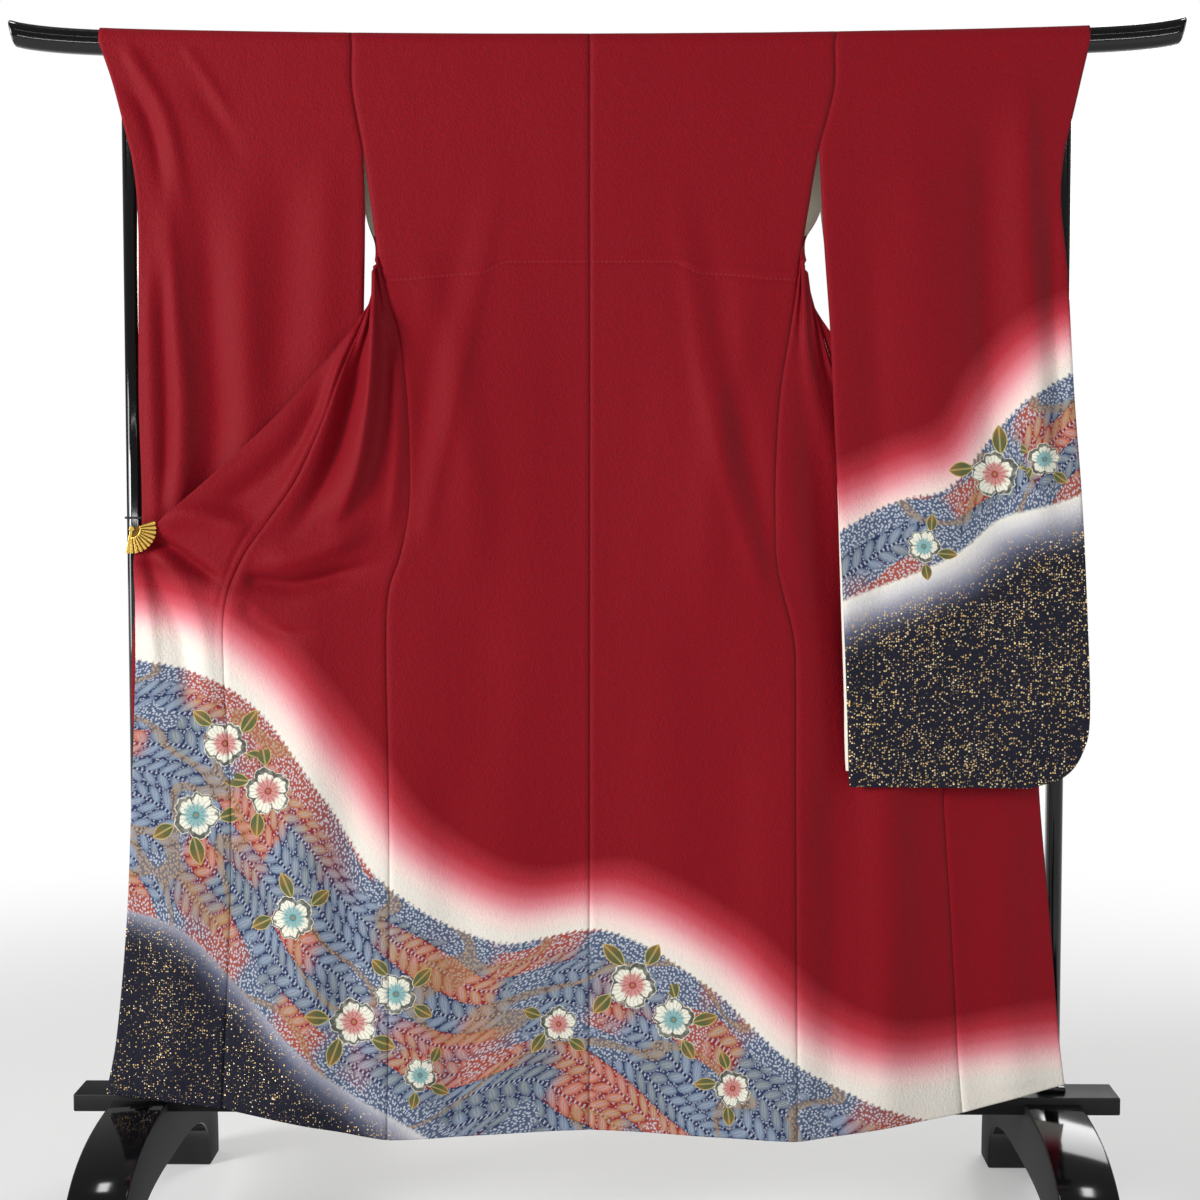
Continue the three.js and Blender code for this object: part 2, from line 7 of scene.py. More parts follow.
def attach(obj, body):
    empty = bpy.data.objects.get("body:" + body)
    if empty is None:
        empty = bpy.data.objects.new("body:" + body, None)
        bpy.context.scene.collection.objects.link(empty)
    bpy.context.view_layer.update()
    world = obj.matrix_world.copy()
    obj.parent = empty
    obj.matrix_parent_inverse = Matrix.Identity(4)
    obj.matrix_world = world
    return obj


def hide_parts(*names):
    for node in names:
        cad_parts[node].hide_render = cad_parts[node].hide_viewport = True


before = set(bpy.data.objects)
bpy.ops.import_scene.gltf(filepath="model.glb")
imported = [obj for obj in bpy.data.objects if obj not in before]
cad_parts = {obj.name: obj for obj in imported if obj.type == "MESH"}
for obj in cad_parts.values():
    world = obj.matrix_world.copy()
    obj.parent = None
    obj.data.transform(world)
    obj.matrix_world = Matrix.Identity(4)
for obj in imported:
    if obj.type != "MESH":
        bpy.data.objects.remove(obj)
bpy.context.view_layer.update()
mm = 0.001

# The stand's sizes and the hanging cloth's seams, in millimetres, as the frame has them.
stand = {
    "barLength": 1547, "barDepth": 30, "barHeight": 33, "barCentreZ": 1583, "barPower": 2.4,
    "barBowRise": 12, "barTipRise": 10, "barTipPower": 16, "barEndSlant": 8, "barSlantReach": 40,
    "barRimRadius": 2.5,
    "postX": 614.5, "postWidth": 22, "postDepth": 26, "postTopZ": 1572, "postRadius": 9.5,
    "ferruleWidth": 36, "ferruleDepth": 34, "ferruleHeight": 9, "ferruleRadius": 2,
    "beamLength": 1404, "beamDepth": 70, "beamBottomZ": 168, "beamTopZ": 192, "beamRadius": 2.5,
    "footX": 612, "footWidth": 76, "footHalfLength": 330, "footCrownZ": 183,
    "footHollowHalfLength": 262, "footHollowZ": 98, "footPower": 3, "footEndPower": 0.8,
    "footRimRadius": 3.5, "gap": 0.3,
}
silkCloth = {
    "wall": 1.3, "centreSeamX": -7, "riseFromZ": 1420, "riseFullZ": 1560,
    "cuffX": {"left": [652, 646, 634], "right": [646, 640, 634]}, "cuffY": 18.5, "cuffDrop": 8,
    "barClearance": 1.9, "openSeamShare": 0.55, "gatherGapShare": 0.08,
    "seamDip": 2.0, "seamDipWidth": 3.2, "hangsFromY": 4, "hangsFullY": -14,
    "edgeWaveShare": 0.35, "innerWaveShare": 0.65, "troughsFadeFromZ": 1490, "troughsEndZ": 1545,
    "sag": 0.9, "sagMargin": 0.12, "collarWall": 3, "collarBehind": 5.5, "collarSteps": 70,
}
ripple = {"slowX": 90, "slowZ": 260, "quickX": 38, "quickZ": 120, "quickShare": 0.5, "quickSeed": 7}
tuck = {
    "z": 1303, "firstDrop": 16, "firstFrom": 105, "firstTo": 150, "secondDrop": 8, "secondTo": 265,
    "dip": 1.6, "dipWidth": 3.0, "ridge": 0.8, "ridgeAbove": 7, "ridgeWidth": 5.0,
}
# Small pleats at the armpits: their number and depth, where along a front they rise and end, and where
# the dyed face shows on both sides.
gathers = {
    "pleats": 3, "depth": 3.2, "rise": 0.16, "full": 0.33, "ease": 0.42, "end": 0.54,
    "lowX": 262, "highX": 312, "lowZ": 1270, "highZ": 1338,
}


def table(names, rows):
    return [dict(zip(names.split(), row)) for row in rows]


# From the armpit to the hem: side seam, seam between front and overlap, the overlap's free edge.
seamColumns = "sideX sideY sideZ lapX lapY lapZ edgeX edgeY edgeZ"
leftSeams = table(seamColumns, [
    [-286, -22, 1312, -295, -13, 1256, -299, -13, 1246],
    [-272, -27, 1255, -312, -36, 1208, -322, -36, 1212],
    [-257, -30, 1201, -334, -43, 1156, -371, -35, 1154],
    [-248, -36, 1130, -359, -46, 1090, -422, -35, 1099],
    [-244, -40, 1050, -391, -47, 1020, -492, -35, 1035],
    [-245, -43, 980, -428, -47, 966, -576, -32, 962],
    [-256, -42, 920, -466, -45, 912, -609, -29, 922],
    [-273, -41, 866, -489, -44, 850, -610, -30, 857],
    [-276, -44, 780, -491, -44, 760, -611, -32, 760],
    [-272, -58, 600, -483, -48, 600, -617, -36, 600],
    [-271, -70, 420, -485, -52, 430, -625, -40, 430],
    [-272, -86, 250, -493, -57, 265, -640, -44, 272],
    [-273, -98, 150, -495, -66, 182, -655, -46, 196],
])
rightSeams = table(seamColumns, [
    [271, -22, 1320, 280, -14, 1262, 284, -10, 1252],
    [264, -26, 1262, 296, -22, 1215, 302, -20, 1222],
    [254, -30, 1200, 318, -26, 1150, 345, -22, 1165],
    [243, -36, 1130, 345, -27, 1085, 410, -22, 1085],
    [238, -40, 1050, 380, -26, 1020, 480, -20, 1000],
    [237, -43, 980, 415, -24, 950, 540, -18.5, 915],
    [241, -43, 900, 440, -22, 880, 572, -18, 840],
    [262, -41, 810, 455, -22, 800, 582, -18, 770],
    [265, -44, 750, 460, -24, 730, 588, -18, 700],
    [265, -58, 600, 462, -34, 595, 591, -22, 594],
    [266, -70, 420, 472, -46, 430, 606, -30, 425],
    [267, -86, 250, 481, -56, 262, 617, -38, 285],
    [267, -98, 150, 487, -64, 180, 625, -44, 213],
])
centreSeam = table("y z", [
    [-22, 1316], [-23, 1258], [-24, 1201], [-26, 1130], [-28, 1050], [-30, 980], [-32, 910],
    [-34, 838], [-36, 765], [-43, 600], [-50, 420], [-59, 250], [-67, 156],
])
# Behind the bar the fronts gather and pass forward to the armpit.
frontColumns = "armX armY armZ neckX neckY neckZ"
leftFrontTop = table(frontColumns, [
    [-313, 34, 1500, -100, 34, 1500], [-314, 29, 1440, -112, 56, 1410],
    [-306, 16, 1370, -186, 74, 1322], [-292, -6, 1332, -258, 46, 1270],
])
rightFrontTop = table(frontColumns, [
    [313, 34, 1500, 100, 34, 1500], [313, 29, 1440, 112, 56, 1410],
    [298, 16, 1372, 180, 74, 1322], [279, -6, 1338, 246, 46, 1272],
])
leftOverlapTop = table("edgeX edgeY edgeZ", [[-182, 76, 1317], [-258, 48, 1256]])
rightOverlapTop = table("edgeX edgeY edgeZ", [[176, 76, 1317], [247, 48, 1257]])
armholeSeam = table("y z leftX rightX", [
    [34, 1500, -313, 313], [24, 1545, -318, 318], [-19, 1530, -319, 313], [-20, 1451, -305, 293],
])
cuffBehind = table("outerX outerY outerZ", [[590, 14, 1520], [588, 4, 1470], [590, -8, 1420]])
# Each layer of a sleeve from the lower end of its shoulder seam to the bottom edge.
sleeveColumns = "innerX innerY innerZ outerX outerY outerZ"
leftSleeveFront = table(sleeveColumns, [
    [-305, -20, 1451, -610, -19.5, 1443], [-303, -20, 1364, -603, -20, 1384],
    [-305, -20, 1253, -602, -20, 1290], [-309, -20, 1100, -604, -20, 1122],
    [-320, -20, 950, -602, -20, 960], [-326, -20, 800, -616, -20, 810],
    [-330, -20, 680, -619, -20, 705], [-331, -20, 640, -612, -20, 660],
    [-332, -20, 618, -592, -20, 628], [-332, -20, 610, -556, -20, 612],
])
leftSleeveBack = table(sleeveColumns, [
    [-306, 16, 1370, -590, -8, 1420], [-313, 8, 1253, -603, -17, 1376],
    [-316, 0, 1100, -603, -17.4, 1122], [-322, -4, 950, -600, -17.4, 960],
    [-328, -6, 800, -614, -17.4, 810], [-331, -6, 690, -616, -17.4, 705],
    [-331, -8, 652, -609, -17.4, 668], [-331, -9, 634, -588, -17.4, 642],
    [-331, -10, 626, -556, -17.4, 628],
])
rightSleeveFront = table(sleeveColumns, [
    [293, -20, 1451, 613, -21, 1446], [299, -28, 1336, 609, -23.5, 1384],
    [308, -38, 1206, 618, -31, 1280], [314, -44, 1080, 626, -42, 1130],
    [319, -48, 990, 637, -48, 990], [326, -52, 850, 645, -51, 850],
    [331, -57, 726, 650, -54, 712], [333, -60, 660, 642, -56, 662],
    [334, -61, 628, 618, -57, 628], [335, -62, 614, 572, -58, 612],
])
rightSleeveBack = table(sleeveColumns, [
    [298, 16, 1372, 590, -8, 1420], [307, -20, 1262, 602, -20.5, 1376],
    [313, -32, 1150, 612, -29, 1262], [318, -37, 1030, 628, -41.6, 1080],
    [323, -41, 880, 641, -47, 880], [328, -47, 740, 647, -50.6, 722],
    [329, -50, 680, 640, -52.6, 672], [330, -52, 648, 616, -54, 640],
    [331, -53, 634, 572, -55, 630],
])
collarHalf = table("seamX seamY seamZ freeX freeY freeZ", [
    [0, 34, 1500, 0, 46, 1446], [60, 34, 1500, 40, 47, 1446], [100, 34, 1500, 54, 52, 1440],
    [112, 56, 1410, 60, 74, 1388], [150, 68, 1362, 104, 92, 1332],
    [180, 74, 1322, 148, 98, 1284], [212, 68, 1304, 190, 92, 1264],
])
# Long soft folds: place across, drift, width, depth towards the front, from and to along the piece.
backFolds = [[0.86, -0.3, 0.12, 7, 0.42, 0.8], [0.55, 0, 0.2, -4, 0.6, 1]]
frontFoldsLeft = [
    [0.34, 0.1, 0.11, 15, 0.3, 0.66], [0.62, 0.1, 0.12, -9, 0.32, 0.6], [0.5, 0, 0.2, 7, 0.7, 1],
]
frontFoldsRight = [[0.38, 0, 0.22, -18, 0.52, 1], [0.36, 0.1, 0.14, 6, 0.3, 0.6], [0.5, 0, 0.2, 7, 0.75, 1]]
sleeveFolds = [[0.82, 0, 0.08, 4, 0.66, 0.96], [0.64, 0, 0.09, -3, 0.68, 0.92]]


# Curves through the tables.
def catmull(a, b, c, d, t):
    square, cube = 2 * a - 5 * b + 4 * c - d, 3 * b - a - 3 * c + d
    return 0.5 * (2 * b + (c - a) * t + square * t * t + cube * t ** 3)


def columnAt(rows, name, share):
    place = min(max(share, 0), 1) * (len(rows) - 1)
    i = min(int(place), len(rows) - 2)
    a, b, c, d = (rows[min(max(k, 0), len(rows) - 1)][name] for k in (i - 1, i, i + 1, i + 2))
    return catmull(a, b, c, d, place - i)


def pointAt(rows, name, share):
    return Vector([columnAt(rows, name + axis, share) for axis in "XYZ"])


def smooth(value, low, high):
    t = min(max((value - low) / (high - low), 0), 1)
    return t * t * (3 - 2 * t)


def barRise(x):
    share = abs(2 * x) / stand["barLength"]
    return stand["barBowRise"] * share ** 2 + stand["barTipRise"] * share ** stand["barTipPower"]


def riseWithBar(point):
    point.z += barRise(point.x) * smooth(point.z, silkCloth["riseFromZ"], silkCloth["riseFullZ"])
    return point


def roundedSection(halfY, halfZ, power, degrees):
    a = math.radians(degrees)

    def bend(value):
        return math.copysign(abs(value) ** (2 / power), value)

    return -halfY * bend(math.cos(a)), halfZ * bend(math.sin(a))


def archRows(ends, count=28):
    halfY = stand["barDepth"] / 2 + silkCloth["barClearance"]
    halfZ = stand["barHeight"] / 2 + silkCloth["barClearance"]
    rows = []
    for i in range(count + 1):
        y, z = roundedSection(halfY, halfZ, stand["barPower"], 180 - 180 * i / count)
        rows.append(ends(i / count, y, stand["barCentreZ"] + z))
    return rows


def foldDepth(folds, across, along):
    depth = 0
    for place, drift, width, height, start, end in folds:
        share = (along - start) / (end - start)
        if 0 < share < 1:
            off = (across - place - drift * share) / width
            depth += height * math.exp(-off * off) * math.sin(math.pi * share) * math.sin(math.pi * across)
    return depth


def refined(rows, step=7.0):
    out = [rows[0]]
    for k in range(len(rows) - 1):
        quads = [[rows[min(max(k + n, 0), len(rows) - 1)][side] for n in (-1, 0, 1, 2)] for side in (0, 1)]
        count = max(1, math.ceil(max((q[2] - q[1]).length for q in quads) / step))
        for i in range(1, count + 1):
            out.append(tuple(throughPoints(*q, i / count) for q in quads))
    return out


def throughPoints(a, b, c, d, t):
    # A centripetal curve, which stays calm where long and short steps meet.
    ab, bc, cd = (max((q - p).length, 1e-6) ** 0.5 for p, q in ((a, b), (b, c), (c, d)))
    if (a - b).length < 1e-6:
        a, ab = b * 2 - c, bc
    if (c - d).length < 1e-6:
        d, cd = c * 2 - b, bc
    m1 = ((b - a) / ab - (c - a) / (ab + bc) + (c - b) / bc) * bc
    m2 = ((c - b) / bc - (d - b) / (bc + cd) + (d - c) / cd) * bc
    t2, t3 = t * t, t ** 3
    return b * (2 * t3 - 3 * t2 + 1) + m1 * (t3 - 2 * t2 + t) + c * (3 * t2 - 2 * t3) + m2 * (t3 - t2)


# Creases are lines on the hanging cloth as (X, Z), with a width on each side and a depth forward.
def crease(points, left, right, depth, fadeIn=0.25, fadeOut=0.25):
    line = []
    for k in range(len(points) - 1):
        quad = [Vector(points[min(max(k + n, 0), len(points) - 1)]) for n in (-1, 0, 1, 2)]
        line += [throughPoints(*quad, i / 6) for i in range(6)]
    line.append(Vector(points[-1]))
    reach = 2.4 * max(left, right)
    xs, zs = [p.x for p in line], [p.y for p in line]
    return {
        "line": line, "left": left, "right": right, "depth": depth, "fadeIn": fadeIn, "fadeOut": fadeOut,
        "box": (min(xs) - reach, max(xs) + reach, min(zs) - reach, max(zs) + reach),
    }


def creaseShift(creases, x, z):
    shift = 0
    here = Vector((x, z))
    for c in creases:
        lowX, highX, lowZ, highZ = c["box"]
        if not (lowX < x < highX and lowZ < z < highZ):
            continue
        best = None
        line = c["line"]
        for k in range(len(line) - 1):
            a, b = line[k], line[k + 1]
            ab = b - a
            t = min(max((here - a).dot(ab) / ab.length_squared, 0), 1)
            gap = here - a - ab * t
            if best is None or gap.length_squared < best[0]:
                best = (gap.length_squared, (k + t) / (len(line) - 1), ab.x * gap.y - ab.y * gap.x)
        width = c["left"] if best[2] > 0 else c["right"]
        taper = smooth(best[1], -0.02, c["fadeIn"]) * smooth(1 - best[1], -0.02, c["fadeOut"])
        shift += c["depth"] * taper * math.exp(-best[0] / (width * width))
    return shift


bodyCreases = [
    crease([(-140, 1460), (-182, 1300), (-222, 1124), (-241, 1010), (-252, 925)], 20, 20, -9, 0.7, 0.12),
    crease([(-112, 1470), (-150, 1300), (-186, 1124), (-214, 1010), (-234, 925)], 14, 30, 5, 0.5, 0.15),
    crease([(116, 1450), (152, 1300), (184, 1124), (222, 970), (254, 850)], 20, 20, -9, 0.7, 0.12),
    crease([(90, 1460), (122, 1300), (148, 1124), (190, 970), (238, 842)], 30, 14, 5, 0.5, 0.15),
    crease([(-7, 1560), (-7, 1000), (-7, 200)], 7, 7, 1.6, 0.05, 0.05),
    crease([(-120, 1380), (-95, 1100), (-110, 800), (-120, 500), (-105, 190)], 50, 60, 3.0),
    crease([(110, 1300), (120, 900), (100, 600), (130, 200)], 60, 50, 3.0),
    crease([(-200, 700), (-190, 450), (-185, 160)], 40, 30, -5.0, 0.3, 0.02),
    crease([(200, 760), (190, 480), (195, 160)], 30, 40, -5.0, 0.3, 0.02),
]
leftDrapeCreases = [
    crease(
        [(-300, 1250), (-312, 1190), (-322, 1130), (-334, 1075), (-356, 1015), (-392, 960), (-430, 915)],
        13, 15, -19, 0.1, 0.5,
    ),
    crease(
        [(-290, 1263), (-294, 1178), (-299, 1103), (-312, 1028), (-332, 980), (-356, 945)],
        10, 26, 16, 0.15, 0.4,
    ),
    crease(
        [(-297, 1250), (-316, 1200), (-340, 1145), (-364, 1085), (-398, 1018), (-424, 970)],
        22, 9, 12, 0.1, 0.35,
    ),
    crease([(-330, 1165), (-362, 1108), (-402, 1050), (-470, 993), (-530, 968)], 26, 22, -14, 0.3, 0.3),
    crease([(-262, 1215), (-259, 1120), (-262, 1010), (-272, 930)], 14, 9, 7, 0.3, 0.3),
    crease([(-600, 962), (-545, 972), (-490, 962), (-440, 935)], 16, 18, 10, 0.3, 0.3),
    crease([(-602, 944), (-560, 926), (-520, 898), (-484, 872)], 8, 12, -13, 0.15, 0.3),
    crease([(-467, 886), (-438, 884), (-396, 880), (-339, 893), (-268, 911)], 9, 16, -13, 0.15, 0.3),
    crease([(-455, 912), (-400, 912), (-345, 930), (-290, 960)], 20, 16, 12, 0.3, 0.3),
    crease([(-470, 856), (-448, 833), (-410, 815), (-360, 815)], 7, 12, -9, 0.2, 0.5),
    crease([(-602, 925), (-572, 867), (-550, 810), (-540, 725), (-542, 640)], 12, 16, -9, 0.12, 0.6),
    crease([(-606, 935), (-594, 860), (-584, 780), (-578, 690)], 9, 14, 6, 0.12, 0.5),
    crease([(-590, 935), (-545, 880), (-520, 820), (-510, 730), (-512, 640)], 14, 18, 7, 0.12, 0.5),
    crease([(-400, 800), (-385, 600), (-390, 400), (-395, 180)], 40, 50, 4, 0.3, 0.02),
    crease([(-560, 600), (-555, 400), (-565, 210)], 30, 30, 4, 0.3, 0.02),
    crease([(-330, 700), (-320, 450), (-330, 160)], 26, 30, -6, 0.3, 0.02),
    crease([(-425, 975), (-455, 935), (-474, 895), (-486, 850), (-490, 780)], 3.5, 3.5, -4, 0.2, 0.4),
    crease([(-440, 972), (-468, 930), (-486, 890), (-497, 850), (-501, 780)], 3.5, 3.5, -4, 0.2, 0.4),
]
rightDrapeCreases = [
    crease([(290, 1240), (318, 1120), (345, 1000), (360, 850)], 14, 18, -6, 0.2, 0.4),
    crease([(300, 700), (310, 450), (305, 160)], 22, 26, -6, 0.3, 0.02),
    crease([(380, 760), (390, 500), (380, 170)], 34, 30, 5, 0.3, 0.02),
    crease([(560, 640), (545, 420), (560, 210)], 26, 30, 4, 0.3, 0.02),
]
leftSleeveCreases = [
    crease([(-640, 1575), (-617, 1534), (-591, 1495), (-574, 1436), (-566, 1358)], 8, 10, -7, 0.2, 0.4),
    crease([(-622, 1585), (-597, 1546), (-566, 1495), (-548, 1423), (-540, 1340)], 9, 12, 6, 0.2, 0.4),
    crease([(-575, 1585), (-546, 1560), (-516, 1520), (-486, 1480), (-462, 1420)], 10, 14, -6, 0.2, 0.4),
    crease([(-548, 1580), (-520, 1548), (-492, 1506), (-468, 1450)], 9, 12, 4, 0.2, 0.4),
    crease([(-586, 1330), (-588, 1253), (-587, 1155), (-585, 1028), (-584, 950)], 9, 12, 6, 0.3, 0.1),
    crease([(-566, 1330), (-568, 1214), (-566, 1096), (-572, 983)], 9, 9, -6, 0.3, 0.2),
    crease([(-566, 1440), (-556, 1253), (-545, 1129), (-548, 1028), (-562, 950)], 12, 18, 8, 0.25, 0.15),
    crease([(-520, 1440), (-508, 1214), (-504, 1069), (-530, 960)], 22, 24, -9, 0.25, 0.2),
    crease([(-470, 1430), (-462, 1200), (-462, 1080), (-490, 1000)], 24, 30, 7, 0.3, 0.3),
    crease([(-405, 1460), (-412, 1250), (-425, 1080)], 30, 30, -6, 0.3, 0.3),
    crease([(-352, 1470), (-356, 1280), (-366, 1120)], 24, 24, 4, 0.3, 0.3),
]
rightSleeveCreases = [
    crease([(562, 1540), (563, 1380), (573, 1212), (582, 1060), (590, 900)], 16, 24, 8, 0.15, 0.3),
    crease([(600, 1430), (598, 1300), (605, 1150), (612, 1000)], 10, 12, -5, 0.3, 0.3),
    crease([(510, 1520), (515, 1300), (525, 1100), (530, 900)], 30, 22, -7, 0.2, 0.3),
    crease([(420, 1490), (430, 1250), (440, 1000), (450, 760)], 40, 36, 5, 0.2, 0.2),
    crease([(350, 1440), (365, 1150), (372, 900), (380, 660)], 22, 26, -5, 0.3, 0.1),
    crease([(560, 860), (570, 740), (560, 640)], 26, 22, 4, 0.4, 0.1),
    crease([(480, 900), (476, 760), (486, 640)], 24, 22, -4, 0.4, 0.1),
]

# Where the dyed band runs: heights of its edges along X, and the sprigs on it.
dyedBand = {
    "bodyTop": [
        (-760, 785), (-560, 770), (-455, 720), (-360, 600), (-285, 490), (-130, 405), (10, 420), (140, 355),
        (270, 245), (430, 175), (760, 90),
    ],
    "bodyFade": [
        (-760, 835), (-550, 820), (-440, 750), (-340, 625), (-260, 520), (-120, 440), (20, 445), (150, 385),
        (280, 275), (400, 235), (560, 250), (760, 260),
    ],
    "bodyLow": [
        (-760, 455), (-610, 440), (-545, 415), (-470, 340), (-355, 230), (-250, 170), (-130, 95), (120, -60),
        (760, -300),
    ],
    "sleeveTop": [(240, 890), (330, 955), (400, 990), (460, 1005), (510, 1060), (570, 1125), (700, 1190)],
    "sleeveFade": [(240, 920), (340, 975), (420, 1010), (475, 1030), (525, 1100), (590, 1170), (700, 1225)],
    "sleeveLow": [(240, 820), (330, 860), (420, 895), (480, 925), (530, 965), (600, 985), (700, 1020)],
    "flatness": 60, "step": 5, "reach": 1300, "lean": {"body": -33, "sleeve": 24},
}
sprigs = {  # X, Z, radius, turn in degrees, warm or cool heart
    "body": [
        (-490, 668, 33, 20, 1), (-432, 606, 35, 140, 1), (-530, 572, 35, 250, 2), (-398, 440, 32, 80, 2),
        (-262, 340, 30, 10, 2), (-318, 302, 35, 215, 1), (-230, 234, 24, 300, 2), (50, 348, 35, 100, 1),
        (104, 304, 31, 340, 2), (-48, 296, 27, 200, 1), (182, 216, 27, 150, 1),
    ],
    "sleeve": [(524, 1024, 34, 60, 1), (586, 1044, 24, 200, 2), (430, 930, 24, 320, 2)],
}


def heightAt(points, x):
    for k in range(len(points) - 1):
        if x <= points[k + 1][0] or k == len(points) - 2:
            quad = [Vector(points[min(max(k + n, 0), len(points) - 1)]) for n in (-1, 0, 1, 2)]
            (x1, z1), (x2, z2) = quad[1], quad[2]
            slopeIn = (quad[2].y - quad[0].y) / max(quad[2].x - quad[0].x, 1)
            slopeOut = (quad[3].y - quad[1].y) / max(quad[3].x - quad[1].x, 1)
            t, w = (x - x1) / (x2 - x1), x2 - x1
            if not 0 <= t <= 1:
                return z1 + slopeIn * (x - x1) if t < 0 else z2 + slopeOut * (x - x2)
            return (z1 * (2 * t ** 3 - 3 * t * t + 1) + slopeIn * w * (t ** 3 - 2 * t * t + t)
                    + z2 * (3 * t * t - 2 * t ** 3) + slopeOut * w * (t ** 3 - t * t))


def leaned(kind, x, z):
    # The band is measured along and across its own general slope.
    a = math.radians(dyedBand["lean"][kind])
    return x * math.cos(a) + z * math.sin(a), z * math.cos(a) - x * math.sin(a)


def edgeTable(name, points):
    # Height, flatness and length along the edge, at every step.
    reach, step = dyedBand["flatness"], dyedBand["step"]
    kind = "body" if name.startswith("body") else "sleeve"
    points = [leaned(kind, *point) for point in points]
    rows, length = {}, 0
    for x in range(-dyedBand["reach"], dyedBand["reach"] + step, step):
        z = heightAt(points, x)
        slope = (heightAt(points, x + reach) - heightAt(points, x - reach)) / (2 * reach)
        rows[x] = (z, 1 / math.hypot(1, slope), length)
        length += step * math.hypot(1, slope)
    return rows


edges = {name: edgeTable(name, points) for name, points in dyedBand.items() if isinstance(points, list)}


def edgeAt(name, x):
    step, reach = dyedBand["step"], dyedBand["reach"]
    x = min(max(x, 1 - reach), reach - step - 1)
    low = math.floor(x / step) * step
    a, b, t = edges[name][low], edges[name][low + step], (x - low) / step
    return [p + (q - p) * t for p, q in zip(a, b)]


def dyePlace(kind, x, z):
    # Metres along the band, below its upper edge, below its lower edge and above the end of the fade.
    if kind == "plain":
        return 0.0, -1.0, -1.0, 1.0
    x, z = leaned(kind, x, z)
    top, flatTop, along = edgeAt(kind + "Top", x)
    low, flatLow, _ = edgeAt(kind + "Low", x)
    fade, flatFade, _ = edgeAt(kind + "Fade", x)
    return along * mm, (top - z) * flatTop * mm, (low - z) * flatLow * mm, (z - fade) * flatFade * mm


sprigReach = 2.3  # in radii: the flower with its leaves


def bloomPlace(kind, x, z):
    near = None
    for cx, cz, radius, turn, heart in sprigs.get(kind, []):
        share = math.hypot(x - cx, z - cz) / radius
        if share < sprigReach and (near is None or share < near[0]):
            near = (share, cx, cz, radius, turn, heart)
    return near


# Building a cloth piece.
def gatherPleats(grid, across, along, shares):
    # Gathered cloth stands in small pleats off its own surface, deepest where it is narrowest.
    moves = {}
    for (i, j), vert in grid.items():
        share = shares[j]
        strength = smooth(share, gathers["rise"], gathers["full"])
        strength *= 1 - smooth(share, gathers["ease"], gathers["end"])
        if strength <= 0:
            continue
        u = i / across
        wide = grid[min(i + 1, across), j].co - grid[max(i - 1, 0), j].co
        down = grid[i, min(j + 1, along)].co - grid[i, max(j - 1, 0)].co
        bend = math.sin(2 * math.pi * (gathers["pleats"] * u + 0.35 * math.sin(9 * share)) + 2 * u)
        inside = min(1, 3.2 * math.sin(math.pi * u) ** 0.8 / 2)
        moves[vert] = wide.cross(down).normalized() * gathers["depth"] * mm * strength * bend * inside
    for vert, move in moves.items():
        vert.co += move


easings = {
    "straight": lambda u: u,
    "both": lambda u: (1 - math.cos(math.pi * u)) / 2,
    "first": lambda u: 1 - math.cos(math.pi / 2 * u),
}


def waveShare(u, seams):
    # Creases run out towards the seams.
    if seams == ("both",):
        edge = math.sin(math.pi * u) ** 0.5
    elif seams:
        edge = math.sin(math.pi / 2 * min(u * 4, 1))
    else:
        edge = 1
    return silkCloth["edgeWaveShare"] + silkCloth["innerWaveShare"] * edge


def unevenness(name, point):
    slow = noise.noise(Vector((point.x / ripple["slowX"], point.z / ripple["slowZ"], len(name))))
    seed = len(name) + ripple["quickSeed"]
    quick = noise.noise(Vector((point.x / ripple["quickX"], point.z / ripple["quickZ"], seed)))
    return slow + ripple["quickShare"] * quick


def clothPoint(name, ends, u, share, ease, creases, folds, seams, tucked):
    first, last = ends
    point = first.lerp(last, u)
    point.y = first.y + (last.y - first.y) * easings[ease](u)
    point.y -= foldDepth(folds, u, share)
    hangs = smooth(point.y, silkCloth["hangsFromY"], silkCloth["hangsFullY"])
    wave = creaseShift(creases, point.x, point.z) * waveShare(u, seams)
    # Troughs end below the bar, which the cloth must clear.
    nearBar = smooth(point.z, silkCloth["troughsFadeFromZ"], silkCloth["troughsEndZ"]) if wave < 0 else 0
    point.y -= wave * (1 - nearBar)
    point.y -= unevenness(name, point) * silkCloth["sag"] * smooth(min(u, 1 - u), 0, silkCloth["sagMargin"])
    width = (last - first).length
    for side, distance in (("first", u * width), ("last", (1 - u) * width)):
        if side in seams or seams == ("both",):
            point.y += silkCloth["seamDip"] * math.exp(-(distance / silkCloth["seamDipWidth"]) ** 2) * hangs
    if tucked and point.y < 0:
        off = point.z - tuckHeight(point.x)
        ridge = tuck["ridge"] * math.exp(-((off - tuck["ridgeAbove"]) / tuck["ridgeWidth"]) ** 2)
        point.y += tuck["dip"] * math.exp(-(off / tuck["dipWidth"]) ** 2) - ridge
    return riseWithBar(point) * mm


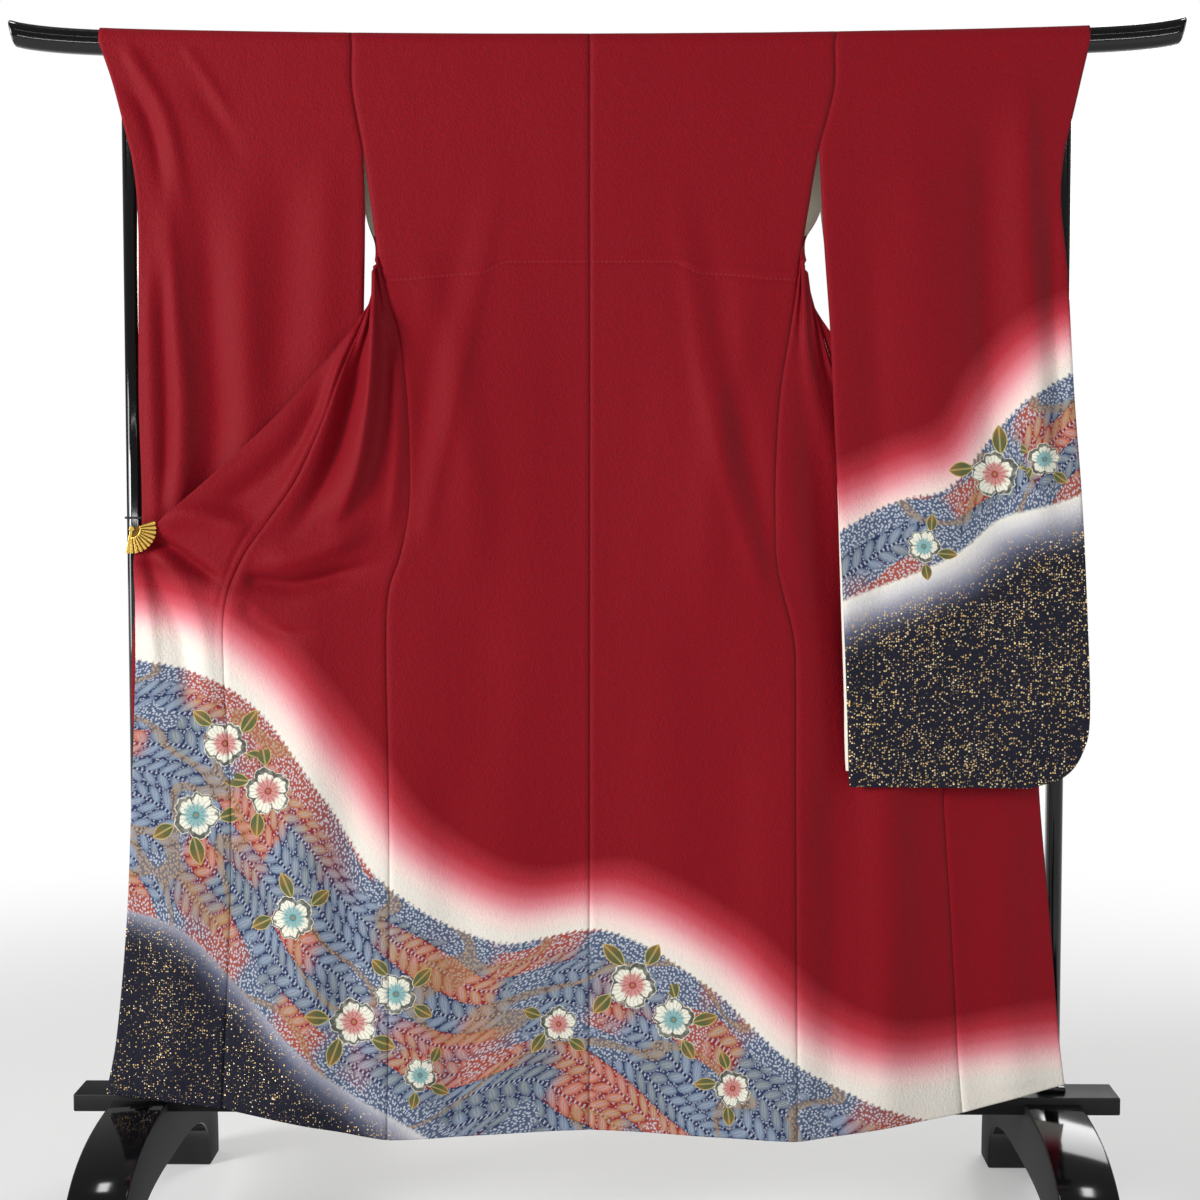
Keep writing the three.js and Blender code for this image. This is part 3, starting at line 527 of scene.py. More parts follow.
def markDyes(mesh, kind, tucked):
    # Every layer is made before the first is filled, because a new layer moves the others in memory.
    layers = {
        "dyePlace": "FLOAT_VECTOR", "fadePlace": "FLOAT", "tuckPlace": "FLOAT", "bloomPlace": "FLOAT_VECTOR",
    }
    for layer, form in layers.items():
        mesh.attributes.new(layer, form, "CORNER" if layer == "bloomPlace" else "POINT")
    place, fade, stitch, bloom = (mesh.attributes[layer] for layer in layers)
    for k, vert in enumerate(mesh.vertices):
        *dyed, above = dyePlace(kind, vert.co.x / mm, vert.co.z / mm)
        place.data[k].vector, fade.data[k].value = dyed, above
        onTuck = tucked and vert.co.y < 0
        stitch.data[k].value = vert.co.z - tuckHeight(vert.co.x / mm) * mm if onTuck else 1.0
    for polygon in mesh.polygons:
        centre = polygon.center / mm
        near = bloomPlace(kind, centre.x, centre.z)
        for k in polygon.loop_indices:
            if near is None:
                bloom.data[k].vector = (9, 9, 0)
                continue
            _, cx, cz, radius, turn, heart = near
            co = mesh.vertices[mesh.loops[k].vertex_index].co / mm
            dx, dz, a = (co.x - cx) / radius, (co.z - cz) / radius, math.radians(turn)
            bloom.data[k].vector = (
                dx * math.cos(a) + dz * math.sin(a), dz * math.cos(a) - dx * math.sin(a), heart,
            )


def dyeGathers(mesh):
    # The gathers at the armpit show the dyed face on both sides.
    for polygon in mesh.polygons:
        centre = polygon.center / mm
        across = gathers["lowX"] < abs(centre.x) < gathers["highX"]
        if across and gathers["lowZ"] < centre.z < gathers["highZ"]:
            polygon.material_index = 2


def clothPiece(
    name, rows, across, kind, creases=(), folds=(), ease="straight", seams=(), flip=False, tucked=False,
    shares=None, pleated=False,
):
    along = len(rows) - 1
    form = bmesh.new()
    bmesh.ops.create_grid(form, x_segments=across, y_segments=along, size=1)
    shares = shares or [k / along for k in range(along + 1)]
    grid = {}
    for vert in form.verts:
        i, j = round((vert.co.x + 1) / 2 * across), round((vert.co.y + 1) / 2 * along)
        grid[i, j] = vert
        vert.co = clothPoint(name, rows[j], i / across, shares[j], ease, creases, folds, seams, tucked)
    if pleated:
        gatherPleats(grid, across, along, shares)
    if flip:
        bmesh.ops.reverse_faces(form, faces=form.faces)
    for face in form.faces:
        face.smooth = True
    mesh = bpy.data.meshes.new(name)
    form.to_mesh(mesh)
    form.free()
    markDyes(mesh, kind, tucked)
    for material in (dyedSilk, liningSilk, dyedSilk, dyedSilk):
        mesh.materials.append(material)
    if pleated:
        dyeGathers(mesh)
    piece = bpy.data.objects.new(name, mesh)
    bpy.context.scene.collection.objects.link(piece)
    shell = piece.modifiers.new("thickness", "SOLIDIFY")
    shell.thickness = silkCloth["wall"] * mm
    shell.offset = 0
    shell.material_offset = 1
    shell.material_offset_rim = 0
    return piece


class Tone:
    # A number that changes over the surface: an expression adds its Math nodes.
    def __init__(self, graph, socket):
        self.graph, self.socket = graph, socket

    def math(self, operation, *others):
        values = [self.socket] + [o.socket if isinstance(o, Tone) else o for o in others]
        node = self.graph.add("ShaderNodeMath", {"operation": operation}, dict(enumerate(values)))
        return Tone(self.graph, node.outputs[0])

    def flipped(self, operation, other):
        node = self.graph.add("ShaderNodeMath", {"operation": operation}, {0: other, 1: self.socket})
        return Tone(self.graph, node.outputs[0])

    def __add__(self, other):
        return self.math("ADD", other)

    def __sub__(self, other):
        return self.math("SUBTRACT", other)

    def __mul__(self, other):
        return self.math("MULTIPLY", other)

    def __truediv__(self, other):
        return self.math("DIVIDE", other)

    __radd__, __rmul__ = __add__, __mul__

    def __rsub__(self, other):
        return self.flipped("SUBTRACT", other)

    def step(self, low, high):
        # 0 below low, 1 above high, smooth between.
        values = {0: self.socket, 1: low, 2: high, 3: 0, 4: 1}
        node = self.graph.add("ShaderNodeMapRange", {"interpolation_type": "SMOOTHSTEP"}, values)
        return Tone(self.graph, node.outputs[0])


class Graph:
    def __init__(self, name):
        self.material = bpy.data.materials.new(name)
        self.material.use_nodes = True
        self.tree = self.material.node_tree
        self.tree.nodes.clear()

    def add(self, kind, settings=None, values=None):
        node = self.tree.nodes.new(kind)
        for key, value in (settings or {}).items():
            if key == "stops":
                ramp = node.color_ramp
                while len(ramp.elements) < len(value):
                    ramp.elements.new(0.5)
                for element, (place, colour) in zip(ramp.elements, value):
                    element.position, element.color = place, colour
            else:
                setattr(node, key, value)
        for key, value in (values or {}).items():
            socket = node.inputs[key]
            value = value.socket if isinstance(value, Tone) else value
            if isinstance(value, bpy.types.NodeSocket):
                self.tree.links.new(value, socket)
            else:
                socket.default_value = value
        return node

    def blend(self, factor, first, second):
        node = self.add("ShaderNodeMix", {"data_type": "RGBA"}, {0: factor, 6: first, 7: second})
        return node.outputs[2]

    def attribute(self, name):
        node = self.add("ShaderNodeAttribute", {"attribute_name": name})
        return self.split(node.outputs["Vector"]), node

    def noise(self, vector, scale, detail=2.0, roughness=0.5):
        values = {"Vector": vector, "Scale": scale, "Detail": detail, "Roughness": roughness}
        node = self.add("ShaderNodeTexNoise", None, values)
        return Tone(self, node.outputs[0])

    def cells(self, vector, scale):
        values = {"Vector": vector, "Scale": scale}
        return self.add("ShaderNodeTexVoronoi", {"voronoi_dimensions": "2D"}, values)

    def split(self, vector):
        node = self.add("ShaderNodeSeparateXYZ", None, {0: vector})
        return [Tone(self, node.outputs[k]) for k in range(3)]

    def stretched(self, vector, scale):
        return self.add("ShaderNodeMapping", None, {"Vector": vector, "Scale": scale}).outputs[0]

    def ramp(self, stops, place):
        return self.add("ShaderNodeValToRGB", {"stops": stops}, {0: place}).outputs[0]

    def vector(self, x, y, z=0.0):
        return self.add("ShaderNodeCombineXYZ", None, {0: x, 1: y, 2: z}).outputs[0]

    def bump(self, height, distance, strength=1.0, normal=None):
        values = {"Strength": strength, "Distance": distance, "Height": height}
        if normal is not None:
            values["Normal"] = normal
        return self.add("ShaderNodeBump", None, values).outputs[0]

    def close(self, values):
        shader = self.add("ShaderNodeBsdfPrincipled", None, values)
        self.add("ShaderNodeOutputMaterial", None, {0: shader.outputs[0]})
        return self.material


def dye(red, green, blue):
    def linear(value):
        value /= 255
        return value / 12.92 if value <= 0.04045 else ((value + 0.055) / 1.055) ** 2.4
    return linear(red), linear(green), linear(blue), 1.0


dyes = {
    "red": dye(136, 7, 22), "cream": dye(232, 226, 216), "ink": dye(28, 29, 42),
    "mist": dye(206, 212, 222), "blueDark": dye(42, 52, 86), "blueLeaf": dye(122, 138, 160),
    "greyLeaf": dye(112, 118, 114), "rustDark": dye(140, 46, 42), "rustLeaf": dye(190, 118, 98),
    "amber": dye(166, 134, 90), "petal": dye(232, 230, 214), "petalLine": dye(84, 86, 80),
    "warm": dye(178, 44, 58), "cool": dye(54, 146, 156),
    "leaf": dye(88, 96, 62), "leafBrown": dye(128, 102, 60),
    "leafEdge": dye(196, 170, 104), "lining": dye(236, 230, 218),
}
groundStops = [
    (0.0, dyes["cream"]), (0.15, dye(240, 214, 206)), (0.25, dye(236, 190, 190)), (0.4, dye(222, 138, 146)),
    (0.55, dye(200, 88, 100)), (0.72, dye(176, 46, 58)), (1.0, dyes["red"]),
]
mistStops = [
    (0.0, dye(234, 230, 220)), (0.2, dye(208, 206, 208)), (0.42, dye(146, 148, 164)),
    (0.62, dye(84, 88, 108)), (0.82, dye(46, 48, 62)), (1.0, dyes["ink"]),
]
fleckStops = [
    (0.0, dye(196, 164, 108)), (0.45, dye(196, 164, 108)), (0.55, dye(226, 212, 176)),
    (0.9, dye(136, 112, 78)),
]
crepe = {"grain": 420, "grainDepth": 0.0013, "crinkle": 130, "crinkleDepth": 0.0013}


def silkBump(g, place):
    stretched = g.stretched(place, (1.0, 1.0, 0.8))
    grain = g.noise(stretched, crepe["grain"], 3.0, 0.6)
    crinkle = g.noise(stretched, crepe["crinkle"], 2.0, 0.55)
    return g.bump(grain, crepe["grainDepth"], 0.8, g.bump(crinkle, crepe["crinkleDepth"], 0.5)), grain


def silkGround(g, flat, grain, drift):
    # The ground fades from red through rose to cream above the band.
    fadeUp = Tone(g, g.attribute("fadePlace")[1].outputs["Fac"]) + drift * 0.012
    fade = g.ramp(groundStops, (fadeUp + 0.025) / 0.1)
    redness = fadeUp.step(0.02, 0.07) * 0.85 + 0.15
    depth = (g.noise(flat, 3.0, 1.0) * 0.1 + (grain - 0.36).math("MAXIMUM", 0.0) * 1.3) * redness
    return g.blend(depth, fade, g.blend(0.5, fade, dyes["ink"]))


def bandPattern(g, s, d, low, x, wander, fine):
    # Rows of leaves in a herringbone, each row beside a beaded stem.
    warpA = g.noise(g.vector(s, d, 0.3), 6.0, 1.0) - 0.5
    warpB = g.noise(g.vector(s, d, 4.1), 6.0, 1.0) - 0.5
    rows = (d + warpA * 0.08) / 0.04
    row = rows.math("FLOOR")
    half = (rows - row - 0.5).math("ABSOLUTE")
    turn = 1 - row.math("MODULO", 2.0).math("ABSOLUTE") * 2
    shift = g.add("ShaderNodeTexWhiteNoise", {"noise_dimensions": "1D"}, {"W": row}).outputs[0]
    cells = (s + warpB * 0.03) / 0.0185 + turn * half * 1.7 + Tone(g, shift)
    across = (cells - cells.math("FLOOR") - 0.5).math("ABSOLUTE")
    reach = (half * (1 - half * 2.0)).math("MAXIMUM", 0.0).math("SQRT") * 1.34
    inside = reach - across + fine * 0.05
    # Warm dye along the far left of the upper edge, and in places elsewhere.
    region = g.noise(g.vector(s * 3.2, row * 0.37, 0.0), 1.6, 2.0) + wander * 0.25
    farLeft = (0 - x).step(0.3, 0.38) * (x + 0.56).step(0.0, 0.03) * d.step(0.06, 0.03)
    warmth = region.step(0.5, 0.58).math("MAXIMUM", farLeft)
    greyness = g.noise(g.vector(s * 6.0, d * 6.0, 2.0), 2.0, 1.0).step(0.4, 0.62)
    dark = g.blend(warmth, dyes["blueDark"], dyes["rustDark"])
    leafColour = g.blend(warmth, dyes["blueLeaf"], dyes["rustLeaf"])
    core = g.blend(greyness * 0.7, leafColour, g.blend(warmth, dyes["greyLeaf"], dyes["amber"]))
    core = g.blend(inside.step(0.2, 0.42) * 0.24, core, dyes["mist"])
    leafTone = g.blend(inside.step(0.05, 0.2), g.blend(0.5, leafColour, dark), core)
    leafTone = g.blend(across.step(0.05, 0.02) * half.step(0.1, 0.2) * 0.45, leafTone, dark)
    # Small tied dots between the leaves, along the upper edge and in patches.
    dots = g.cells(g.vector(s, d), 250.0)
    ring = Tone(g, dots.outputs["Distance"])
    bubble = ring.step(0.42, 0.22)
    between = g.blend(bubble * 0.45, dark, dyes["mist"])
    pattern = g.blend(inside.step(0.0, 0.06), between, leafTone)
    beads = ((s + warpB * 0.03) / 0.003).math("PINGPONG", 1.0).step(0.5, 0.75)
    pattern = g.blend(half.step(0.052, 0.034), pattern, g.blend(beads * 0.62, dark, dyes["mist"]))
    tied = g.blend(bubble * 0.7, g.blend(0.36, dark, leafColour), dyes["mist"])
    patches = g.noise(g.vector(s, d, 8.0), 11.0, 1.0).step(0.57, 0.63)
    zone = (d + wander * 0.03).step(0.03, 0.02).math("MAXIMUM", patches)
    pattern = g.blend(zone.math("MAXIMUM", (low + wander * 0.03).step(-0.03, -0.018)), pattern, tied)
    # A few dotted amber streams wind along the band.
    stream = (g.noise(g.vector(s * 0.5, d, 11.0), 9.0, 1.0) - 0.5).math("ABSOLUTE").step(0.022, 0.014)
    return g.blend(stream * (bubble * 0.5 + 0.3), pattern, dyes["amber"])


def goldFlecks(g, flat, deep, x):
    sway = g.vector(g.noise(flat, 700.0) * 0.0016, 0.0)
    bent = g.add("ShaderNodeVectorMath", {"operation": "ADD"}, {0: flat, 1: sway})
    cells = g.cells(bent.outputs[0], 330.0)
    chance, size, hue = g.split(cells.outputs["Color"])
    crowd = g.noise(flat, 15.0, 2.0)
    # They are finer on the left.
    spread = size * 0.32 + 0.15 - (0 - x).step(0.1, 0.4) * 0.09 - Tone(g, cells.outputs["Distance"])
    fleck = spread.step(0.0, 0.06) * (chance + crowd).step(1.08, 1.14) * deep.step(0.012, 0.045)
    return fleck, g.ramp(fleckStops, hue)


def withSprigs(g, colour):
    # Each sprig is one open flower and three leaves in its own place.
    (u, v, kind), _ = g.attribute("bloomPlace")
    ruffle = g.noise(g.vector(u, v, kind * 7.3), 3.4, 2.0) - 0.5
    grit = g.noise(g.vector(u, v, 2.0), 14.0, 2.0) - 0.5
    for cu, cv, lean, long in ((1.24, 0.5, 0.6, 0.6), (-0.5, 1.26, 2.2, 0.5), (1.02, -0.96, -0.7, 0.48)):
        lu = (u - cu) * math.cos(lean) + (v - cv) * math.sin(lean)
        lv = (v - cv) * math.cos(lean) - (u - cu) * math.sin(lean)
        body = 1 - (lu / long) * (lu / long) - (lv / 0.3).math("ABSOLUTE") + grit * 0.12
        vein = lv.math("ABSOLUTE").step(0.05, 0.02)
        fill = g.blend((lu / long + ruffle).step(-0.3, 0.8), dyes["leaf"], dyes["leafBrown"])
        tone = g.blend(body.step(0.08, 0.2), dyes["leafEdge"], g.blend(vein * 0.6, fill, dyes["leafEdge"]))
        colour = g.blend(body.step(0.0, 0.05), colour, tone)
    u, v = u + ruffle * 0.14, v - ruffle * 0.1
    r = (u * u + v * v).math("SQRT")
    angle = v.math("ARCTAN2", u)
    petals = (angle * 2.5).math("SINE").math("ABSOLUTE")
    rim = 0.66 + petals.math("SQRT") * 0.26 + (angle * 15).math("SINE") * 0.02 + ruffle * 0.3
    gapLine = petals.step(0.14, 0.04) * r.step(0.25, 0.5)
    streak = (angle * 27 + ruffle * 9).math("SINE").step(0.6, 0.95) * r.step(0.4, 0.6) * 0.4
    petal = g.blend(gapLine.math("MAXIMUM", streak), dyes["petal"], dyes["petalLine"])
    hue = g.blend(kind.step(1.4, 1.6), dyes["warm"], dyes["cool"])
    stamens = (angle * 14 + grit * 6).math("SINE").step(0.4, 0.9) * r.step(0.56, 0.48)
    petal = g.blend((r + grit * 0.2).step(0.52, 0.34) * 0.8, petal, g.blend(0.15, hue, dyes["petal"]))
    petal = g.blend((stamens * 0.6).math("MAXIMUM", r.step(0.2, 0.1)), petal, g.blend(0.25, hue, dyes["ink"]))
    petal = g.blend(r.step(0.1, 0.06) * 0.8, petal, dyes["amber"])
    # The outline is drawn thicker on one side.
    inner = rim - r
    line = 0.17 + (u * 0.07 - v * 0.06)
    drawn = inner.step(0.03, 0.06) * (inner - line).step(0.03, -0.02)
    petal = g.blend(drawn * (0.9 + ruffle), petal, dyes["petalLine"])
    return g.blend((rim - r).step(0.0, 0.03), colour, petal)


def makeDyedSilk():
    g = Graph("dyed crepe silk")
    place = g.add("ShaderNodeTexCoord").outputs["Object"]
    (s, d, low), _ = g.attribute("dyePlace")
    normal, grain = silkBump(g, place)
    x, _, z = g.split(place)
    flat = g.vector(x, z, 0.0)
    wander, drift, fine = (g.noise(flat, scale, 2.0) - 0.5 for scale in (9.0, 3.5, 210.0))
    ground = silkGround(g, flat, grain, drift)
    # The band's upper edge has a fringe of fine teeth, its lower edge a thin pale line.
    teeth = (s / 0.0042).math("PINGPONG", 1.0) * 0.004
    upperEdge = (d + fine * 0.008 + teeth).step(0.0, 0.004)
    colour = g.blend(upperEdge, ground, bandPattern(g, s, d, low, x, wander, fine))
    # Below the band a misty edge falls to ink with gold flecks.
    deep = low + wander * 0.02 + (0 - x).step(0.1, 0.42) * 0.03
    mist = g.ramp(mistStops, deep / 0.075)
    gold, fleckTone = goldFlecks(g, flat, deep, x)
    colour = g.blend((low + fine * 0.006).step(-0.003, 0.003), colour, g.blend(gold, mist, fleckTone))
    colour = withSprigs(g, colour)
    # The waist tuck's running stitches.
    tuckZ = Tone(g, g.attribute("tuckPlace")[1].outputs["Fac"])
    stitched = tuckZ.math("ABSOLUTE").step(0.0013, 0.0006) * (x / 0.003).math("PINGPONG", 1.0).step(0.35, 0.6)
    colour = g.blend(stitched * 0.08, colour, dye(200, 110, 116))
    return g.close({
        "Base Color": colour, "Roughness": 0.6 - gold * 0.2, "Metallic": gold * 0.6, "Normal": normal,
        "Sheen Weight": 0.02, "Sheen Roughness": 0.45, "Specular IOR Level": 0.06,
    })


def makeLining():
    g = Graph("lining silk")
    place = g.add("ShaderNodeTexCoord").outputs["Object"]
    weave = g.noise(place, 900.0, 2.0)
    shade = g.noise(place, 6.0, 2.0)
    colour = g.blend(shade * 0.25, dyes["lining"], dye(214, 206, 192))
    return g.close({
        "Base Color": colour, "Roughness": 0.5 + weave * 0.1, "Normal": g.bump(weave, 0.0003, 0.4),
        "Sheen Weight": 0.2,
    })


def makeLacquer():
    g = Graph("black lacquer")
    place = g.add("ShaderNodeTexCoord").outputs["Object"]
    ripple = g.noise(place, 14.0, 2.0)
    dust = g.noise(place, 240.0, 3.0).step(0.62, 0.8)
    return g.close({
        "Base Color": dye(7, 7, 9), "Roughness": 0.08 + dust * 0.08 + ripple * 0.04,
        "Normal": g.bump(ripple, 0.0006, 0.25), "Specular IOR Level": 0.42,
    })


def makeSatin(name, colour, roughness):
    g = Graph(name)
    place = g.add("ShaderNodeTexCoord").outputs["Object"]
    grain = g.noise(g.stretched(place, (1.0, 12.0, 12.0)), 40.0, 4.0)
    shade = g.blend(grain * 0.5, colour, dye(30, 31, 33))
    return g.close({
        "Base Color": shade, "Roughness": roughness + grain * 0.1, "Normal": g.bump(grain, 0.0002, 0.3),
        "Specular IOR Level": 0.2,
    })


def makeGilt(name, bright, worn, roughness):
    g = Graph(name)
    place = g.add("ShaderNodeTexCoord").outputs["Object"]
    rub = g.noise(place, 160.0, 3.0)
    colour = g.blend(rub * 0.5, bright, worn)
    return g.close({
        "Base Color": colour, "Roughness": roughness + rub * 0.14, "Metallic": 1.0,
        "Normal": g.bump(rub, 0.0002, 0.3),
    })


def makeElastic():
    g = Graph("black elastic")
    place = g.add("ShaderNodeTexCoord").outputs["Object"]
    rib = g.noise(g.stretched(place, (1.0, 1.0, 9.0)), 260.0, 2.0)
    shade = g.blend(rib * 0.5, dye(22, 22, 24), dye(44, 44, 46))
    return g.close({"Base Color": shade, "Roughness": 0.85, "Normal": g.bump(rib, 0.0003, 0.6)})


dyedSilk, liningSilk, lacquer, elastic = makeDyedSilk(), makeLining(), makeLacquer(), makeElastic()
gilt = makeGilt("gilt metal", dye(226, 188, 96), dye(156, 114, 48), 0.24)
# The leaf's gilt is a darker copy of the gilt: painted shade on the leaf between the ribs.
giltLeafPaintedShade = makeGilt("gilt leaf in shade", dye(120, 92, 40), dye(70, 50, 22), 0.45)
satinBlack = makeSatin("satin black beam", dye(15, 16, 17), 0.45)
footSide = makeSatin("matte foot side", dye(16, 16, 18), 0.6)
print("materials made")


def rowsOf(rows, first, last, count, withEnd=True):
    steps = range(count + 1 if withEnd else count)
    return [(pointAt(rows, first, k / count), pointAt(rows, last, k / count)) for k in steps]


def armholeX(side, share):
    return columnAt(armholeSeam, side + "X", share)


def withArmpit(top, seams):
    last = {}
    for axis in "XYZ":
        last["arm" + axis], last["neck" + axis] = seams[0]["side" + axis], seams[0]["lap" + axis]
    return top + [last]


def tuckHeight(x):
    # The tuck drops in two steps from the centre seam to the side seam.
    reach = abs(x - silkCloth["centreSeamX"])
    first = tuck["firstDrop"] * smooth(reach, tuck["firstFrom"], tuck["firstTo"])
    return tuck["z"] - first - tuck["secondDrop"] * smooth(reach, tuck["firstTo"], tuck["secondTo"])


# How finely each piece is divided across and along.
garment = {
    "acrossBack": 62, "acrossFront": 72, "acrossOverlap": 42, "acrossSleeve": 72, "acrossCollar": 24,
    "seamSteps": 208, "upperSteps": 66, "sleeveSteps": 150,
}
# Rows of the solids, over which the long folds are placed: above the seams' first row, and in all.
solidRows = {
    "backUpper": 15, "backAll": 33, "frontUpper": 12, "frontAll": 30,
    "sleeveRear": 20, "sleeveShoulder": 6, "sleeveOver": 13, "sleeveFore": 20, "sleeveAll": 59,
}


def backRows(side, seams):
    centre = silkCloth["centreSeamX"]

    def row(x, y, z):
        return Vector((centre, y, z)), Vector((x, y, z))

    rear, behind, before, armpit = armholeSeam
    rows = [
        row(armholeX(side, 0), rear["y"], rear["z"]), row(armholeX(side, 1 / 3), behind["y"], behind["z"]),
    ]
    rows += archRows(lambda share, y, z: row(armholeX(side, 1 / 3 + share / 3), y, z))
    rows += [
        row(armholeX(side, 2 / 3), before["y"], before["z"]),
        row(armholeX(side, 1), armpit["y"], armpit["z"]),
    ]
    start = pointAt(seams, "side", 0)
    free = Vector((armholeX(side, 1), armpit["y"], armpit["z"])).lerp(start, silkCloth["openSeamShare"])
    rows.append((Vector((centre, free.y, free.z)), free))
    rows.append((Vector((centre, centreSeam[0]["y"], centreSeam[0]["z"])), start))
    upper = refined(rows)
    lower = []
    for k in range(1, garment["seamSteps"] + 1):
        share = k / garment["seamSteps"]
        middle = Vector((centre, columnAt(centreSeam, "y", share), columnAt(centreSeam, "z", share)))
        lower.append((middle, pointAt(seams, "side", share)))
    coarse = solidRows["backUpper"] / solidRows["backAll"]
    shares = [coarse * k / (len(upper) - 1) for k in range(len(upper))]
    shares += [coarse + (1 - coarse) * k / len(lower) for k in range(1, len(lower) + 1)]
    return upper + lower, shares


def frontRows(top, seams):
    rows = rowsOf(withArmpit(top, seams), "arm", "neck", garment["upperSteps"], False)
    lower = rowsOf(seams, "side", "lap", garment["seamSteps"])
    coarse = solidRows["frontUpper"] / solidRows["frontAll"]
    shares = [coarse * k / len(rows) for k in range(len(rows))]
    shares += [coarse + (1 - coarse) * k / (len(lower) - 1) for k in range(len(lower))]
    return rows + lower, shares


def overlapRows(frontTop, top, seams):
    upper = withArmpit(frontTop, seams)
    edges = top + [seams[0]]
    count = garment["upperSteps"] // 2
    rows = [
        (pointAt(upper, "neck", 0.5 + k / (2 * count)), pointAt(edges, "edge", k / count))
        for k in range(count)
    ]
    rows += rowsOf(seams, "lap", "edge", garment["seamSteps"])
    # The gap at the gathers closes below the first few seam rows.
    last = count + garment["seamSteps"] * 2.5 / 18
    out = []
    for k, (lap, edge) in enumerate(rows):
        share = silkCloth["gatherGapShare"] * (1 - smooth(k, last * 0.85, last * 1.15))
        out.append((lap.lerp(edge, share), edge))
    return out


def sleeveRows(side, frontTop, seams, back, front):
    sign = {"left": -1, "right": 1}[side]
    upper = withArmpit(frontTop, seams)
    _, behind, before, _ = armholeSeam
    steps = garment["sleeveSteps"]
    rear = rowsOf(back, "inner", "outer", steps)[::-1]
    count = garment["upperSteps"] // 2
    shoulder = []
    for k in range(count - 1, -1, -1):
        cuff = pointAt(cuffBehind, "outer", k / count)
        shoulder.append((pointAt(upper, "arm", k / (2 * count)), Vector((cuff.x * sign, cuff.y, cuff.z))))
    full, rearX, foreX = silkCloth["cuffX"][side]
    over = [shoulder[-1], (
        Vector((armholeX(side, 1 / 3), behind["y"], behind["z"])),
        Vector((sign * rearX, silkCloth["cuffY"], behind["z"] + silkCloth["cuffDrop"])),
    )]
    over += archRows(
        lambda share, y, z: (Vector((armholeX(side, 1 / 3 + share / 3), y, z)), Vector((sign * full, y, z)))
    )
    over.append((
        Vector((armholeX(side, 2 / 3), before["y"], before["z"])),
        Vector((sign * foreX, -silkCloth["cuffY"], before["z"])),
    ))
    fore = rowsOf(front, "inner", "outer", steps)
    over = refined(over + [fore[0]])[1:-1]
    # Each stretch of fine rows takes up the share that the same stretch has in the solid.
    parts = [solidRows["sleeve" + part] for part in ("Rear", "Shoulder", "Over", "Fore")]
    whole = solidRows["sleeveAll"]
    shares = [(k / (len(rear) - 1)) * parts[0] / whole for k in range(len(rear))]
    done = parts[0]
    for stretch, count in ((shoulder, parts[1]), (over, parts[2])):
        shares += [(done + count * (k + 1) / len(stretch)) / whole for k in range(len(stretch))]
        done += count
    shares += [(done + parts[3] * k / (len(fore) - 1)) / whole for k in range(len(fore))]
    return rear + shoulder + over + fore, shares


def collarRows():
    rows = []
    steps = silkCloth["collarSteps"]
    halves = ((-1, [1 - k / steps for k in range(steps)]), (1, [k / steps for k in range(steps + 1)]))
    for sign, shares in halves:
        for share in shares:
            seam, free = pointAt(collarHalf, "seam", share), pointAt(collarHalf, "free", share)
            behind = silkCloth["collarBehind"]
            rows.append(tuple(Vector((p.x * sign, p.y + behind, p.z)) for p in (seam, free)))
    return rows


pieces = {}
for side, seams, top, overlapTop, folds, drape in (
    ("left", leftSeams, leftFrontTop, leftOverlapTop, frontFoldsLeft, leftDrapeCreases),
    ("right", rightSeams, rightFrontTop, rightOverlapTop, frontFoldsRight, rightDrapeCreases),
):
    turned = side == "right"
    rows, shares = backRows(side, seams)
    pieces["back_" + side] = clothPiece(
        "silk_back_" + side, rows, garment["acrossBack"], "body", bodyCreases + drape, backFolds, "both",
        ("both",), turned, True, shares,
    )
    rows, shares = frontRows(top, seams)
    pieces["front_" + side] = clothPiece(
        "silk_front_" + side, rows, garment["acrossFront"], "body", bodyCreases + drape, folds, "first",
        ("both",), turned, False, shares, True,
    )
    pieces["overlap_" + side] = clothPiece(
        "silk_overlap_" + side, overlapRows(top, overlapTop, seams), garment["acrossOverlap"], "body",
        drape, (), "straight", ("first",), turned,
    )
for side, top, seams, back, front, creases, kind in (
    ("left", leftFrontTop, leftSeams, leftSleeveBack, leftSleeveFront, leftSleeveCreases, "plain"),
    ("right", rightFrontTop, rightSeams, rightSleeveBack, rightSleeveFront, rightSleeveCreases, "sleeve"),
):
    rows, shares = sleeveRows(side, top, seams, back, front)
    pieces["sleeve_" + side] = clothPiece(
        "silk_sleeve_" + side, rows, garment["acrossSleeve"], kind, creases, sleeveFolds, "straight",
        ("first",), side == "right", False, shares,
    )
pieces["collar"] = clothPiece("silk_collar", collarRows(), garment["acrossCollar"], "plain")
pieces["collar"].modifiers["thickness"].thickness = silkCloth["collarWall"] * mm
pieces["collar"].modifiers["thickness"].material_offset = 0
print("cloth made")

for name, piece in pieces.items():
    kind = name.split("_")[0]
    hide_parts(name)


def finished(name, form, materials, node):
    mesh = bpy.data.meshes.new(name)
    form.to_mesh(mesh)
    form.free()
    for material in materials:
        mesh.materials.append(material)
    piece = bpy.data.objects.new(name, mesh)
    bpy.context.scene.collection.objects.link(piece)
    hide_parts(node)
    pieces[node] = piece
    return piece


def rounded(form, edges, radius, segments):
    bmesh.ops.bevel(
        form, geom=edges, offset=radius * mm, segments=segments, profile=0.5, affect="EDGES", material=-1,
    )


def block(size, centre, radius, segments=4, edges=None):
    form = bmesh.new()
    bmesh.ops.create_cube(form, size=1)
    bmesh.ops.scale(form, vec=Vector(size) * mm, verts=form.verts)
    bmesh.ops.translate(form, vec=Vector(centre) * mm, verts=form.verts)
    chosen = [e for e in form.edges if edges is None or edges(e)]
    rounded(form, chosen, radius, segments)
    for face in form.faces:
        face.smooth = True
    return form


def upright(edge):
    a, b = (v.co for v in edge.verts)
    return abs(a.z - b.z) > 5 * mm


